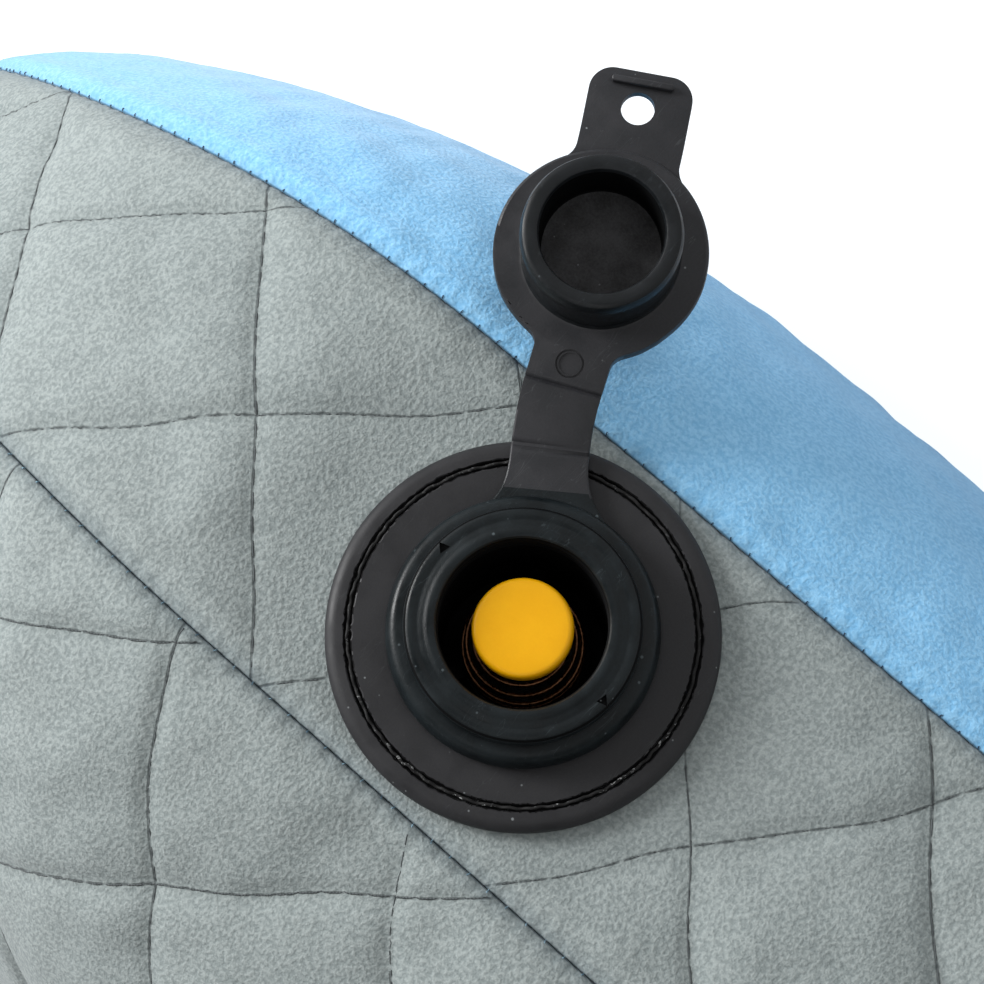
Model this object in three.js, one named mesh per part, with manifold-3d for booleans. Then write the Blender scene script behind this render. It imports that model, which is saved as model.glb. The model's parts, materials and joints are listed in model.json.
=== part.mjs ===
// Inflatable camp pillow: a quilted cover with a side gusset around a film bladder, and a push-button
// air valve whose cap hangs on a folding strap. Millimetres, +Z up. The pillow lies flat, sleeping face
// up, with its length along X. The origin is the middle of the flat patch that it rests on.
import * as THREE from 'three';
import { mergeVertices } from 'three/addons/utils/BufferGeometryUtils.js';
import Module from 'manifold-3d';

const wasm = await Module();
wasm.setup();

// ---- driving dimensions -------------------------------------------------------------------------

const gap = 0.3;                      // clearance between pieces that touch

const pillow = {
  length: 420,                        // along X, at the gusset
  width: 290,                         // along Y, at the gusset
  cornerRun: 117,                     // how far each end's rounding reaches along the length
  cornerPower: 2.1,                   // squareness of the rounding: 2 is an ellipse
  gussetHeight: 51.4,                 // at the middle of each side
  gussetNarrowing: 0.2,               // share of its height that the gusset loses at a corner
  topRise: 58,                        // crown of the sleeping face above its seam
  bottomRise: 43.4,                   // crown of the underside below its seam
  flatDepth: 1.2,                     // how much of that crown is pressed flat on the ground
};
const domePower = 4.5;                // flatness of the crown across the middle
const domeEdge = 0.75;                // steepness at the seam: 0.5 stands upright
const domeEdgeCorner = 0.8;           // the same at a corner, where the face is pulled flatter

const layers = { coverCloth: 1.0, wadding: 2.4, film: 0.8 };
const baffle = { count: 4, spacing: 50, reach: 0.74, clearance: 1.0 };

const segments = 48;                  // around the pillow, a multiple of 4
const rings = 7;                      // from seam to crown
const roundSides = 40;                // around the valve's turned pieces

const valve = {
  fromEnd: 142.5,                     // axis to the end of the pillow, along its length
  boreRadius: 10.3,
  tubeWall: 1.3,                      // body below the neck
  neckStep: 1.0,                      // neck proud of the tube
  lipReach: 1.7,                      // lip proud of the neck
  lipThickness: 2.1,
  rimWall: 1.3,                       // raised rim round the mouth
  rimHeight: 0.4,
  bodyDepth: 16,                      // from the cloth to the bottom of the valve seat
  seatWidth: 2.7,
  seatThickness: 2.0,
  hubTop: -9,                         // spider that guides the stem
  hubThickness: 2.2,
  hubWall: 1.3,
  spokeWidth: 1.8,
};
const flange = {
  width: 10,                          // from its hole to its edge
  thickness: 2.2,
  bevel: 0.7,
  grooveFromEdge: 2.8,
  grooveWidth: 1.7,
  grooveDepth: 0.5,
};
const thread = { radius: 0.28 };
const socket = { flangeWidth: 5.3, thickness: 1.7, wall: 1.8, stand: 1.3 };
const seal = { radius: 0.4 };
const button = {
  radius: 6.15,
  thickness: 2.0,
  recess: 2.8,                        // top of the head below the mouth
  stemRadius: 2.0,
};
const spring = { wireRadius: 0.35, fromEdge: 0.8, turns: 5 };
const sealDisc = { overlap: 1.6, thickness: 2.0 };
const retainer = { reach: 1.6, thickness: 1.5, grooveDepth: 0.5 };

const ring = { width: 3.7, taper: 0.8, thickness: 3.2 };
const strap = {
  width: 9.6,
  thickness: 1.4,
  angle: 30,                          // degrees from straight down, towards the near end of the pillow
  baseLength: 6,                      // ring to the first crease
  lift: 15,                           // degrees that the link stands off the cover
  foldGap: 0.3,                       // each side of a crease
};
const cap = {
  rimWidth: 3.6,                      // disc proud of its plug
  thickness: 2.2,
  stubLength: 4,                      // disc to the second crease
  tilt: 2,                            // degrees that the cap stands off the cover
  plugPlay: 0.7,                      // all round, in the valve's bore
  plugWall: 2.05,
  plugHeight: 9,
  bead: 0.3,
  tabWidth: 13,
  tabReach: 11.2,
  tabCorner: 3,
  tabHole: 2.1,
  holeFromDisc: 6.4,
  gripHeight: 0.9,
  gripWidth: 1,
};

// ---- sizes that follow from them ----------------------------------------------------------------

const halfLength = pillow.length / 2;
const halfWidth = pillow.width / 2;
const straightHalf = halfLength - pillow.cornerRun;
const seamHalf = pillow.gussetHeight / 2;
const middle = seamHalf + pillow.bottomRise - pillow.flatDepth;   // height of the pillow's mid-plane
const liningDepth = layers.coverCloth + gap;                      // cover's outside to the wadding
const bladderDepth = liningDepth + layers.wadding + gap;          // cover's outside to the film
const insideDepth = bladderDepth + layers.film + gap;             // cover's outside to the air space

const tubeRadius = valve.boreRadius + valve.tubeWall;
const neckRadius = tubeRadius + valve.neckStep;
const lipRadius = neckRadius + valve.lipReach;
const rimRadius = valve.boreRadius + valve.rimWall;
const seatRadius = valve.boreRadius - valve.seatWidth;
const socketBore = tubeRadius + gap;
const socketRadius = socketBore + socket.wall;
const coverHole = socketRadius + gap;
const flangeRadius = coverHole + flange.width;
const grooveRadius = flangeRadius - flange.grooveFromEdge;
const ringInner = neckRadius + gap;
const ringRadius = ringInner + ring.width;
const hubRadius = button.stemRadius + gap + valve.hubWall;
const coilRadius = button.radius - spring.fromEdge - spring.wireRadius;

const flangeTop = gap + flange.thickness;
const ringBottom = flangeTop + gap;
const lipBottom = ringBottom + ring.thickness + gap;
const lipTop = lipBottom + valve.lipThickness;
const mouth = lipTop + valve.rimHeight;
const buttonTop = mouth - button.recess;
const headBottom = buttonTop - button.thickness;
const seatBottom = -valve.bodyDepth;
const discTop = seatBottom - gap;
const discBottom = discTop - sealDisc.thickness;
const clipBottom = discBottom - gap - retainer.thickness;
const socketTop = gap + socket.stand;
const sealRadius = tubeRadius + gap + seal.radius;
const shoulder = socketTop + gap + 2 * seal.radius + gap;         // step from tube to neck

const plugRadius = valve.boreRadius - cap.plugPlay;
const capRadius = plugRadius + cap.rimWidth;
const strapTop = ringBottom + strap.thickness;
const strapFold = ringRadius + strap.baseLength;                  // valve axis to the first crease
const capFold = capRadius + cap.stubLength;                       // cap axis to the second crease
const proud = cap.thickness - strap.thickness;                    // cap face above the strap's face

// The link is as long as it must be for the plug to stand in the bore when the cap is shut.
const shutRise = mouth + gap + proud - strapTop;
const linkLength = Math.hypot(strapFold - capFold, shutRise);

const radians = THREE.MathUtils.degToRad;

// ---- materials ----------------------------------------------------------------------------------

const finish = (color, roughness, metalness = 0) => new THREE.MeshStandardMaterial({ color, roughness, metalness });

const materials = {
  greySuede: finish('#9aa09d', 0.95),
  blueSuede: finish('#8fbfe8', 0.95),
  wadding: finish('#e9e9e4', 1.0),
  film: finish('#d5dadb', 0.45),
  darkPlastic: finish('#3a3839', 0.55),
  valvePlastic: finish('#1f2527', 0.5),
  blackThread: finish('#141414', 0.9),
  rubber: finish('#26292b', 0.8),
  orangePlastic: finish('#fbb41f', 0.45),
  springSteel: finish('#8d8378', 0.35, 1.0),
};

// ---- closed meshes ------------------------------------------------------------------------------

function meshFromGrid(loops, closedAcross) {
  // loops: rings of points, all of the same length. Each ring closes on itself. With closedAcross the last
  // ring joins the first, and otherwise each end is a fan to its ring's middle.
  const positions = [];
  const indices = [];
  const around = loops[0].length;
  loops.forEach((loop) => loop.forEach((point) => positions.push(...point)));
  const at = (row, column) => row * around + (column % around);
  const rows = closedAcross ? loops.length : loops.length - 1;
  for (let row = 0; row < rows; row += 1) {
    const next = (row + 1) % loops.length;
    for (let column = 0; column < around; column += 1) {
      indices.push(at(row, column), at(row, column + 1), at(next, column + 1));
      indices.push(at(row, column), at(next, column + 1), at(next, column));
    }
  }
  if (!closedAcross) {
    [0, loops.length - 1].forEach((row) => {
      const centre = positions.length / 3;
      const sum = loops[row].reduce((total, point) => total.map((value, axis) => value + point[axis]), [0, 0, 0]);
      positions.push(...sum.map((value) => value / around));
      for (let column = 0; column < around; column += 1) {
        const pair = [at(row, column), at(row, column + 1)];
        if (row === 0) pair.reverse();
        indices.push(centre, ...pair);
      }
    });
  }
  const geometry = new THREE.BufferGeometry();
  geometry.setAttribute('position', new THREE.Float32BufferAttribute(positions, 3));
  geometry.setIndex(indices);
  return geometry;
}

function toSolid(geometry) {
  const copy = geometry.clone();
  copy.deleteAttribute('normal');
  copy.deleteAttribute('uv');
  const merged = mergeVertices(copy, 1e-4);
  const vertProperties = new Float32Array(merged.attributes.position.array);
  const triVerts = new Uint32Array(merged.index.array);
  const solid = new wasm.Manifold(new wasm.Mesh({ numProp: 3, vertProperties, triVerts }));
  return solid;
}

function toGeometry(solid) {
  const mesh = solid.getMesh();
  const geometry = new THREE.BufferGeometry();
  geometry.setAttribute('position', new THREE.BufferAttribute(new Float32Array(mesh.vertProperties), 3));
  geometry.setIndex(new THREE.BufferAttribute(new Uint32Array(mesh.triVerts), 1));
  return geometry;
}

function cut(geometry, ...tools) {
  return toGeometry(tools.reduce((solid, tool) => solid.subtract(toSolid(tool)), toSolid(geometry)));
}

function join(...geometries) {
  return toGeometry(geometries.slice(1).reduce((solid, other) => solid.add(toSolid(other)), toSolid(geometries[0])));
}

function named(name, geometry, material) {
  const drawn = geometry.index ? geometry.toNonIndexed() : geometry;
  drawn.deleteAttribute('normal');
  drawn.computeVertexNormals();
  const mesh = new THREE.Mesh(drawn, material);
  mesh.name = name;
  return mesh;
}

const turned = (profile, sides = roundSides) => {
  const closed = [...profile, profile[0]];
  return new THREE.LatheGeometry(closed.map(([radius, along]) => new THREE.Vector2(radius, along)), sides);
};

// A turned piece with a bore: outer and inner corners between two levels.
const tube = (inner, outer, low, high, sides) => turned([[inner, low], [outer, low], [outer, high], [inner, high]], sides);

// A plate outline drawn in X and Z (Z is lateral) and raised from low to high along Y.
function plate(shape, low, high, curveSegments = 10) {
  const geometry = new THREE.ExtrudeGeometry(shape, { depth: high - low, bevelEnabled: false, curveSegments });
  geometry.rotateX(-Math.PI / 2);
  geometry.translate(0, low, 0);
  return geometry;
}

function bar(fromX, toX, halfZ) {
  const shape = new THREE.Shape();
  shape.moveTo(fromX, -halfZ);
  shape.lineTo(toX, -halfZ);
  shape.lineTo(toX, halfZ);
  shape.lineTo(fromX, halfZ);
  shape.closePath();
  return shape;
}

// ---- the pillow's shape -------------------------------------------------------------------------

const corner = (turn) => Math.sin(2 * turn) ** 2;                 // 0 mid-side, 1 at a corner

// A point of the outline, taken in by inset. turn runs from 0 at +X, anticlockwise.
function outline(turn, inset) {
  const reach = 2 / pillow.cornerPower;
  const alongX = Math.abs(Math.cos(turn)) ** reach * (pillow.cornerRun - inset);
  const alongY = Math.abs(Math.sin(turn)) ** reach * (halfWidth - inset);
  const side = Math.cos(turn) < 0 ? -1 : 1;
  return [side * (straightHalf + alongX), Math.sin(turn) < 0 ? -alongY : alongY];
}

// Turns that draw the whole outline: each quadrant's own arc, so the straight sides keep their ends.
function outlineTurns(from, to) {
  const quarter = segments / 4;
  const turns = [];
  for (let quadrant = from; quadrant < to; quadrant += 1) {
    for (let step = 0; step <= quarter; step += 1) {
      const inside = THREE.MathUtils.clamp(step / quarter, 1e-6, 1 - 1e-6);
      turns.push((quadrant + inside) * Math.PI / 2);
    }
  }
  // The two ends on the X axis meet in one point.
  return turns.filter((turn, index) => index === 0 || !samePoint(outline(turn, 0), outline(turns[index - 1], 0)));
}

function samePoint([x1, y1], [x2, y2]) {
  return Math.hypot(x1 - x2, y1 - y2) < 0.5;
}

const seamHeight = (turn, share = 1) => seamHalf * (1 - pillow.gussetNarrowing * corner(turn) * share);

// Height of a face above the mid-plane, at a share of the way out to the outline.
function faceHeight(turn, share, rise, flat, inset) {
  const edge = THREE.MathUtils.lerp(domeEdge, domeEdgeCorner, corner(turn));
  const crown = (rise - inset) * (1 - share ** domePower) ** edge;
  const height = seamHeight(turn, share ** 3) + crown;
  return Math.min(height, seamHalf + rise - flat - inset);
}

// One face of the pillow as a shell between two insets. side is +1 for the top, -1 for the underside.
function faceShell(side, rise, flat, outer, inner) {
  const turns = outlineTurns(0, 4);
  if (samePoint(outline(turns[0], 0), outline(turns.at(-1), 0))) turns.pop();
  const ringAt = (inset, ringIndex) => {
    const out = ringIndex / rings;
    const share = 1 - out ** 2;
    return turns.map((turn) => {
      const [x, y] = outline(turn, inset);
      return [x * share, y * share, side * (faceHeight(turn, share, rise, flat, inset) + gap / 2)];
    });
  };
  const loops = [];
  for (let ringIndex = rings - 1; ringIndex >= 0; ringIndex -= 1) loops.push(ringAt(inner, ringIndex));
  for (let ringIndex = 0; ringIndex < rings; ringIndex += 1) loops.push(ringAt(outer, ringIndex));
  if (side < 0) loops.reverse();
  return meshFromGrid(loops, false);
}

// An upright band that follows the outline over a range of quadrants, or all of it.
function band(from, to, outer, inner) {
  const whole = to - from === 4;
  const turns = outlineTurns(from, to);
  if (whole && samePoint(outline(turns[0], 0), outline(turns.at(-1), 0))) turns.pop();
  const section = (turn) => {
    const high = seamHeight(turn) - gap / 2;
    const [outX, outY] = outline(turn, outer);
    const [inX, inY] = outline(turn, inner);
    return [[inX, inY, -high], [inX, inY, high], [outX, outY, high], [outX, outY, -high]];
  };
  return meshFromGrid(turns.map(section), whole);
}

// ---- cover, wadding and bladder -----------------------------------------------------------------

function makePillow() {
  const group = new THREE.Group();
  const { topRise, bottomRise, flatDepth } = pillow;
  const wadded = liningDepth + layers.wadding;
  const filmed = bladderDepth + layers.film;
  const faces = [
    ['top_panel', 1, topRise, 0, 0, layers.coverCloth, materials.greySuede],
    ['top_wadding', 1, topRise, 0, liningDepth, wadded, materials.wadding],
    ['bladder_top', 1, topRise, 0, bladderDepth, filmed, materials.film],
    ['bottom_panel', -1, bottomRise, flatDepth, 0, layers.coverCloth, materials.blueSuede],
    ['bladder_bottom', -1, bottomRise, flatDepth, bladderDepth, filmed, materials.film],
  ];
  faces.forEach(([name, side, rise, flat, outer, inner, material]) => {
    group.add(named(name, faceShell(side, rise, flat, outer, inner), material));
  });

  const valveHole = new THREE.CylinderGeometry(coverHole, coverHole, 40, roundSides);
  valveHole.translate(halfLength - valve.fromEnd, -halfWidth, 0);
  const bands = [
    ['gusset_front', 2, 4, 0, layers.coverCloth, materials.greySuede],
    ['gusset_back', 0, 2, 0, layers.coverCloth, materials.greySuede],
    ['gusset_wadding_front', 2, 4, liningDepth, wadded, materials.wadding],
    ['gusset_wadding_back', 0, 2, liningDepth, wadded, materials.wadding],
    ['bladder_wall', 0, 4, bladderDepth, filmed, materials.film],
  ];
  bands.forEach(([name, from, to, outer, inner, material]) => {
    const strip = band(from, to, outer, inner);
    const pierced = to === 4;
    group.add(named(name, pierced ? cut(strip, valveHole) : strip, material));
  });

  for (let index = 0; index < baffle.count; index += 1) {
    const acrossY = (index - (baffle.count - 1) / 2) * baffle.spacing;
    group.add(named(`baffle_${index + 1}`, makeBaffle(acrossY), materials.film));
  }
  return group;
}

// An internal wall that stands along X and follows the film above and below it.
function makeBaffle(acrossY) {
  const shape = new THREE.Shape();
  const steps = 16;
  const reachX = baffle.reach * halfLength;
  const edgeAt = (x, rise, flat) => {
    const size = Math.hypot(x, acrossY);
    const aim = Math.atan2(acrossY, x);
    const share = size / outlineReach(aim, insideDepth);
    return faceHeight(turnAt(aim), share, rise, flat, insideDepth) - baffle.clearance;
  };
  const points = [];
  for (let step = 0; step <= steps; step += 1) {
    const x = THREE.MathUtils.lerp(-reachX, reachX, step / steps);
    points.push([x, edgeAt(x, pillow.topRise, 0)]);
  }
  for (let step = steps; step >= 0; step -= 1) {
    const x = THREE.MathUtils.lerp(-reachX, reachX, step / steps);
    points.push([x, -edgeAt(x, pillow.bottomRise, pillow.flatDepth)]);
  }
  points.forEach(([x, z], index) => (index ? shape.lineTo(x, z) : shape.moveTo(x, z)));
  shape.closePath();
  const geometry = new THREE.ExtrudeGeometry(shape, { depth: layers.film, bevelEnabled: false });
  geometry.rotateX(Math.PI / 2);
  geometry.translate(0, acrossY + layers.film / 2, 0);
  return geometry;
}

// The outline's own turn, and its distance from the middle, in the direction of an ordinary angle.
function turnAt(aim) {
  let low = 0;
  let high = Math.PI / 2;
  const target = Math.abs(Math.atan2(Math.abs(Math.sin(aim)), Math.abs(Math.cos(aim))));
  for (let pass = 0; pass < 40; pass += 1) {
    const turn = (low + high) / 2;
    const [x, y] = outline(Math.min(turn, Math.PI / 2 - 1e-6), insideDepth);
    if (Math.atan2(y, x) < target) low = turn;
    else high = turn;
  }
  return low;
}

function outlineReach(aim, inset) {
  const turn = turnAt(aim);
  if (turn > Math.PI / 2 - 1e-5) return (halfWidth - inset) / Math.abs(Math.sin(aim));
  const [x, y] = outline(turn, inset);
  return Math.hypot(x, y);
}

// ---- valve: +Y points out of the pillow, from the outside of the cover cloth ---------------------

function makeCoverFlange() {
  const shoulderRadius = flangeRadius - flange.bevel;
  const floor = flangeTop - flange.grooveDepth;
  const wide = flange.grooveWidth / 2;
  const narrow = flange.grooveWidth / 3;
  return turned([
    [coverHole, gap], [flangeRadius, gap], [flangeRadius, flangeTop - flange.bevel], [shoulderRadius, flangeTop],
    [grooveRadius + wide, flangeTop], [grooveRadius + narrow, floor],
    [grooveRadius - narrow, floor], [grooveRadius - wide, flangeTop], [coverHole, flangeTop],
  ]);
}

// A round ring of round section: the thread in its groove, and the seal.
function roundRing(radius, thickness, level, sides = 6) {
  const profile = [];
  for (let side = 0; side < sides; side += 1) {
    const turn = side / sides * Math.PI * 2;
    profile.push([radius + thickness * Math.cos(turn), level + thickness * Math.sin(turn)]);
  }
  return turned(profile);
}

function makeSocket() {
  const high = -insideDepth;
  const low = high - socket.thickness;
  const edge = socketRadius + socket.flangeWidth;
  return turned([
    [socketBore, low], [edge, low], [edge, high], [socketRadius, high],
    [socketRadius, socketTop], [socketBore, socketTop],
  ]);
}

function makeValveBody() {
  const bore = valve.boreRadius;
  const round = 0.5;
  const seatTop = seatBottom + valve.seatThickness;
  const shell = turned([
    [seatRadius, seatBottom], [tubeRadius, seatBottom], [tubeRadius, shoulder], [neckRadius, shoulder],
    [neckRadius, lipBottom], [lipRadius - round / 2, lipBottom], [lipRadius, lipBottom + round],
    [lipRadius, lipTop - round], [lipRadius - round, lipTop], [rimRadius + round, lipTop], [rimRadius, mouth],
    [bore + round, mouth], [bore, mouth - round], [bore, seatTop], [seatRadius, seatTop],
  ]);
  const hubLow = valve.hubTop - valve.hubThickness;
  const hub = tube(button.stemRadius + gap, hubRadius, hubLow, valve.hubTop, 24);
  const bite = 0.5;                   // how far a spoke runs into the hub and the wall
  const spokes = [0, 1, 2].map((index) => {
    const inner = hubRadius - bite;
    const outer = bore + bite;
    const spoke = new THREE.BoxGeometry(outer - inner, valve.hubThickness, valve.spokeWidth);
    spoke.translate((inner + outer) / 2, (hubLow + valve.hubTop) / 2, 0);
    spoke.rotateY(index * Math.PI * 2 / 3);
    return spoke;
  });
  return join(shell, hub, ...spokes);
}

function makeButton() {
  const { radius, stemRadius } = button;
  const grooveTop = clipBottom + retainer.thickness + gap;
  const grooveLow = clipBottom - gap;
  const core = stemRadius - retainer.grooveDepth;
  const tip = stemRadius - 0.2;       // the end is a little thinner, for the clip to pass
  const round = 0.6;
  const profile = [
    [0, grooveLow - 0.8], [tip, grooveLow - 0.8], [tip, grooveLow], [core, grooveLow], [core, grooveTop],
    [stemRadius, grooveTop], [stemRadius, headBottom], [radius, headBottom], [radius, buttonTop - round],
    [radius - round / 3, buttonTop - round / 3], [radius - round, buttonTop], [0, buttonTop],
  ];
  return new THREE.LatheGeometry(profile.map(([across, along]) => new THREE.Vector2(across, along)), roundSides);
}

function makeRetainer() {
  const inner = button.stemRadius - retainer.grooveDepth + gap;
  return tube(inner, button.stemRadius + retainer.reach, clipBottom, clipBottom + retainer.thickness, 24);
}

class Helix extends THREE.Curve {
  constructor(radius, low, high, turns) {
    super();
    Object.assign(this, { radius, low, high, turns });
  }

  getPoint(share, target = new THREE.Vector3()) {
    const turn = share * this.turns * Math.PI * 2;
    const level = THREE.MathUtils.lerp(this.low, this.high, share);
    return target.set(this.radius * Math.cos(turn), level, this.radius * Math.sin(turn));
  }
}

function makeSpring() {
  const { wireRadius, turns } = spring;
  const low = valve.hubTop + gap + wireRadius;
  const high = headBottom - gap - wireRadius;
  const section = new THREE.Shape();
  section.absarc(0, 0, wireRadius, 0, Math.PI * 2);
  return new THREE.ExtrudeGeometry(section, {
    extrudePath: new Helix(coilRadius, low, high, turns), steps: turns * 14, curveSegments: 3,
  });
}

function makeTetherRing() {
  const low = ringBottom;
  const high = ringBottom + ring.thickness;
  const collar = turned([
    [ringInner, low], [ringRadius, low], [ringRadius, low + ring.taper],
    [ringRadius - ring.taper, high], [ringInner, high],
  ]);
  const root = ringInner + 0.6;       // where the strap grows out of the ring
  const tailEnd = strapFold - strap.foldGap;
  const half = strap.width / 2;
  const flare = half + 3;
  const tail = new THREE.Shape();
  tail.moveTo(root, -flare);
  tail.quadraticCurveTo(ringRadius + 1, -half, tailEnd, -half);
  tail.lineTo(tailEnd, half);
  tail.quadraticCurveTo(ringRadius + 1, half, root, flare);
  tail.closePath();
  const inside = new THREE.CylinderGeometry(root - 0.1, root - 0.1, 40, roundSides);
  return join(collar, cut(plate(tail, low, strapTop, 5), inside));
}

const makeLink = () => plate(bar(strap.foldGap, linkLength - strap.foldGap, strap.width / 2), -strap.thickness, 0);

// The cap, with the second crease at the origin, its tab towards +X and its plug towards +Y.
function makeCap() {
  const back = -strap.thickness;
  const face = proud;
  const bite = 0.5;                   // how far joined shapes run into each other
  const inner = plugRadius - cap.plugWall;
  const end = face + cap.plugHeight;
  const beadRadius = plugRadius + cap.bead;
  const disc = new THREE.CylinderGeometry(capRadius, capRadius, cap.thickness, roundSides);
  disc.translate(0, (back + face) / 2, 0);
  const plug = turned([
    [inner, face - bite], [plugRadius, face - bite], [plugRadius, end - 2.6], [beadRadius, end - 1.8],
    [beadRadius, end - 0.9], [plugRadius - 0.5, end], [inner, end],
  ]);
  const stub = plate(bar(strap.foldGap - capFold, -capRadius + 2, strap.width / 2), back, 0);
  const grip = plate(bar(capRadius + cap.tabReach - 1 - cap.gripWidth, capRadius + cap.tabReach - 1,
    cap.tabWidth / 2 - 1.6), -bite, cap.gripHeight);
  const hole = new THREE.CylinderGeometry(cap.tabHole, cap.tabHole, 10, 20);
  hole.translate(capRadius + cap.holeFromDisc, 0, 0);
  const whole = cut(join(disc, plug, stub, plate(tabOutline(), back, 0, 5), grip), hole);
  whole.translate(capFold, 0, 0);
  return whole;
}

function tabOutline() {
  const round = cap.tabCorner;
  const half = cap.tabWidth / 2;
  const start = capRadius - 3;        // the tab grows out of the disc
  const corner = capRadius + cap.tabReach - round;
  const shape = new THREE.Shape();
  shape.moveTo(start, -half);
  shape.lineTo(corner, -half);
  shape.absarc(corner, round - half, round, -Math.PI / 2, 0);
  shape.absarc(corner, half - round, round, 0, Math.PI / 2);
  shape.lineTo(start, half);
  shape.closePath();
  return shape;
}

function makeTether() {
  const group = new THREE.Group();
  group.rotation.y = radians(90 + strap.angle);
  group.add(named('tether_ring', makeTetherRing(), materials.valvePlastic));
  const link = new THREE.Group();
  link.position.set(strapFold, strapTop, 0);
  link.rotation.z = radians(strap.lift);
  link.add(named('strap_link', makeLink(), materials.valvePlastic));
  const lid = new THREE.Group();
  lid.position.set(linkLength, 0, 0);
  lid.rotation.z = radians(cap.tilt - strap.lift);
  lid.add(named('cap', makeCap(), materials.valvePlastic));
  link.add(lid);
  group.add(link);
  return group;
}

function makeValve() {
  const group = new THREE.Group();
  group.position.set(halfLength - valve.fromEnd, -halfWidth, 0);
  group.rotation.z = Math.PI;
  const threadLevel = flangeTop - flange.grooveDepth + gap / 3 + thread.radius;
  const discRadius = seatRadius + sealDisc.overlap;
  const pieces = [
    ['cover_flange', makeCoverFlange(), materials.darkPlastic],
    ['flange_thread', roundRing(grooveRadius, thread.radius, threadLevel), materials.blackThread],
    ['weld_socket', makeSocket(), materials.film],
    ['socket_seal', roundRing(sealRadius, seal.radius, socketTop + gap + seal.radius), materials.rubber],
    ['valve_body', makeValveBody(), materials.valvePlastic],
    ['button', makeButton(), materials.orangePlastic],
    ['spring', makeSpring(), materials.springSteel],
    ['seal_disc', tube(button.stemRadius + gap, discRadius, discBottom, discTop), materials.rubber],
    ['retainer', makeRetainer(), materials.orangePlastic],
  ];
  pieces.forEach(([name, geometry, material]) => group.add(named(name, geometry, material)));
  group.add(makeTether());
  return group;
}

// ---- assembly -----------------------------------------------------------------------------------

const campPillow = new THREE.Group();
campPillow.name = 'camp_pillow';
campPillow.position.z = middle;
campPillow.add(makePillow(), makeValve());

export default campPillow;
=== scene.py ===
# Camp pillow: quilted cover, air valve with push button, and a cap on a folding strap.
import json
import math

import bmesh
import bpy
import numpy as np
from mathutils import Matrix, Vector


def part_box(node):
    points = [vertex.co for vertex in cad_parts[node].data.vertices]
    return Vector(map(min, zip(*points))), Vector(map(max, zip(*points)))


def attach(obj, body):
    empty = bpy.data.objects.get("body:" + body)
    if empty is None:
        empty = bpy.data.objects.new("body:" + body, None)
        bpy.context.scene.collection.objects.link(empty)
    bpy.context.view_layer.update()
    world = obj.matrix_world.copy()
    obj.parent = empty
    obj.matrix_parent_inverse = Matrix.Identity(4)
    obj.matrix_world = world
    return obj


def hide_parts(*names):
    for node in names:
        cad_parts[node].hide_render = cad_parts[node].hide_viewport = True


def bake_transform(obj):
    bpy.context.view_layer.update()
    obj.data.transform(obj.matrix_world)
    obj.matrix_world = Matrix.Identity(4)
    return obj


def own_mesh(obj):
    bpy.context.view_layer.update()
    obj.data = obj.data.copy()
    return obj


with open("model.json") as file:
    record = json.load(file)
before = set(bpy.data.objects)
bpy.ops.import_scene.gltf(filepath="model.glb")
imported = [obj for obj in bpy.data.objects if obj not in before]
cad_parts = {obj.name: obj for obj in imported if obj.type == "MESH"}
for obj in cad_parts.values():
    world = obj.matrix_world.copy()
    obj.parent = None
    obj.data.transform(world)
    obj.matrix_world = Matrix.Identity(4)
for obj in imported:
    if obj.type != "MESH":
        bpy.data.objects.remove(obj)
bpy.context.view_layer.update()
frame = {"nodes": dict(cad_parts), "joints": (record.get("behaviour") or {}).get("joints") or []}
mm = 0.001

# places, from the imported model
gussetLow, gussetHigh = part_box("gusset_front")
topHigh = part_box("top_panel")[1]
flangeLow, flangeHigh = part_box("cover_flange")
jointNamed = {joint["name"]: joint for joint in frame["joints"]}
valveSpot = Vector(((flangeLow.x + flangeHigh.x) / 2, gussetLow.y, (flangeLow.z + flangeHigh.z) / 2))
midHeight = valveSpot.z / mm
outward = Vector(jointNamed["tether_swivel"]["axis"]).normalized()
sideways = -Vector(jointNamed["strap_fold"]["axis"]).normalized()
along = sideways.cross(outward).normalized()


def placeMatrix(spot, alongAxis, outAxis):
    # columns: along the strap, across it, and out of the pillow
    acrossAxis = outAxis.cross(alongAxis).normalized()
    turn = Matrix((alongAxis, acrossAxis, outAxis)).transposed().to_4x4()
    return Matrix.Translation(spot) @ turn


valvePlace = placeMatrix(valveSpot, along, outward)
strapCrease = valvePlace.inverted() @ Vector(jointNamed["strap_fold"]["pos_m"]) / mm
capCrease = valvePlace.inverted() @ Vector(jointNamed["cap_fold"]["pos_m"]) / mm
linkAngle = math.atan2(capCrease.z - strapCrease.z, capCrease.x - strapCrease.x)
print("valve at", tuple(round(v / mm, 2) for v in valveSpot))
print("link lifts", round(math.degrees(linkAngle), 2), "degrees")

# the pillow's shape, in millimetres
pillow = {
    "halfLength": max(gussetHigh.x, -gussetLow.x) / mm,
    "halfWidth": -gussetLow.y / mm,
    "straightHalf": 93.0,
    "cornerPower": 2.1,
    "seamHalf": 25.7,
    "narrowing": 0.2,
    "topRise": topHigh.z / mm - midHeight - 25.7 - 0.15,
    "underRise": 43.4,
    "underFlat": 1.2,
    "domePower": 4.5,
    "domeEdge": 0.75,
    "domeEdgeCorner": 0.8,
    "clothThick": 1.0,
    "valveHole": 15.0,
    "heldTo": 24.5,                   # the gusset is held flat out to here round the valve
    "freeFrom": 46.0,
    "held": -0.1,
}


def smooth(value, low, high):
    share = np.clip((np.asarray(value, float) - low) / (high - low), 0.0, 1.0)
    return share * share * (3.0 - 2.0 * share)


def pathLengths(points):
    # how far along the line each of its points is
    return np.concatenate([[0], np.cumsum(np.linalg.norm(np.diff(points, axis=0), axis=1))])


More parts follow.
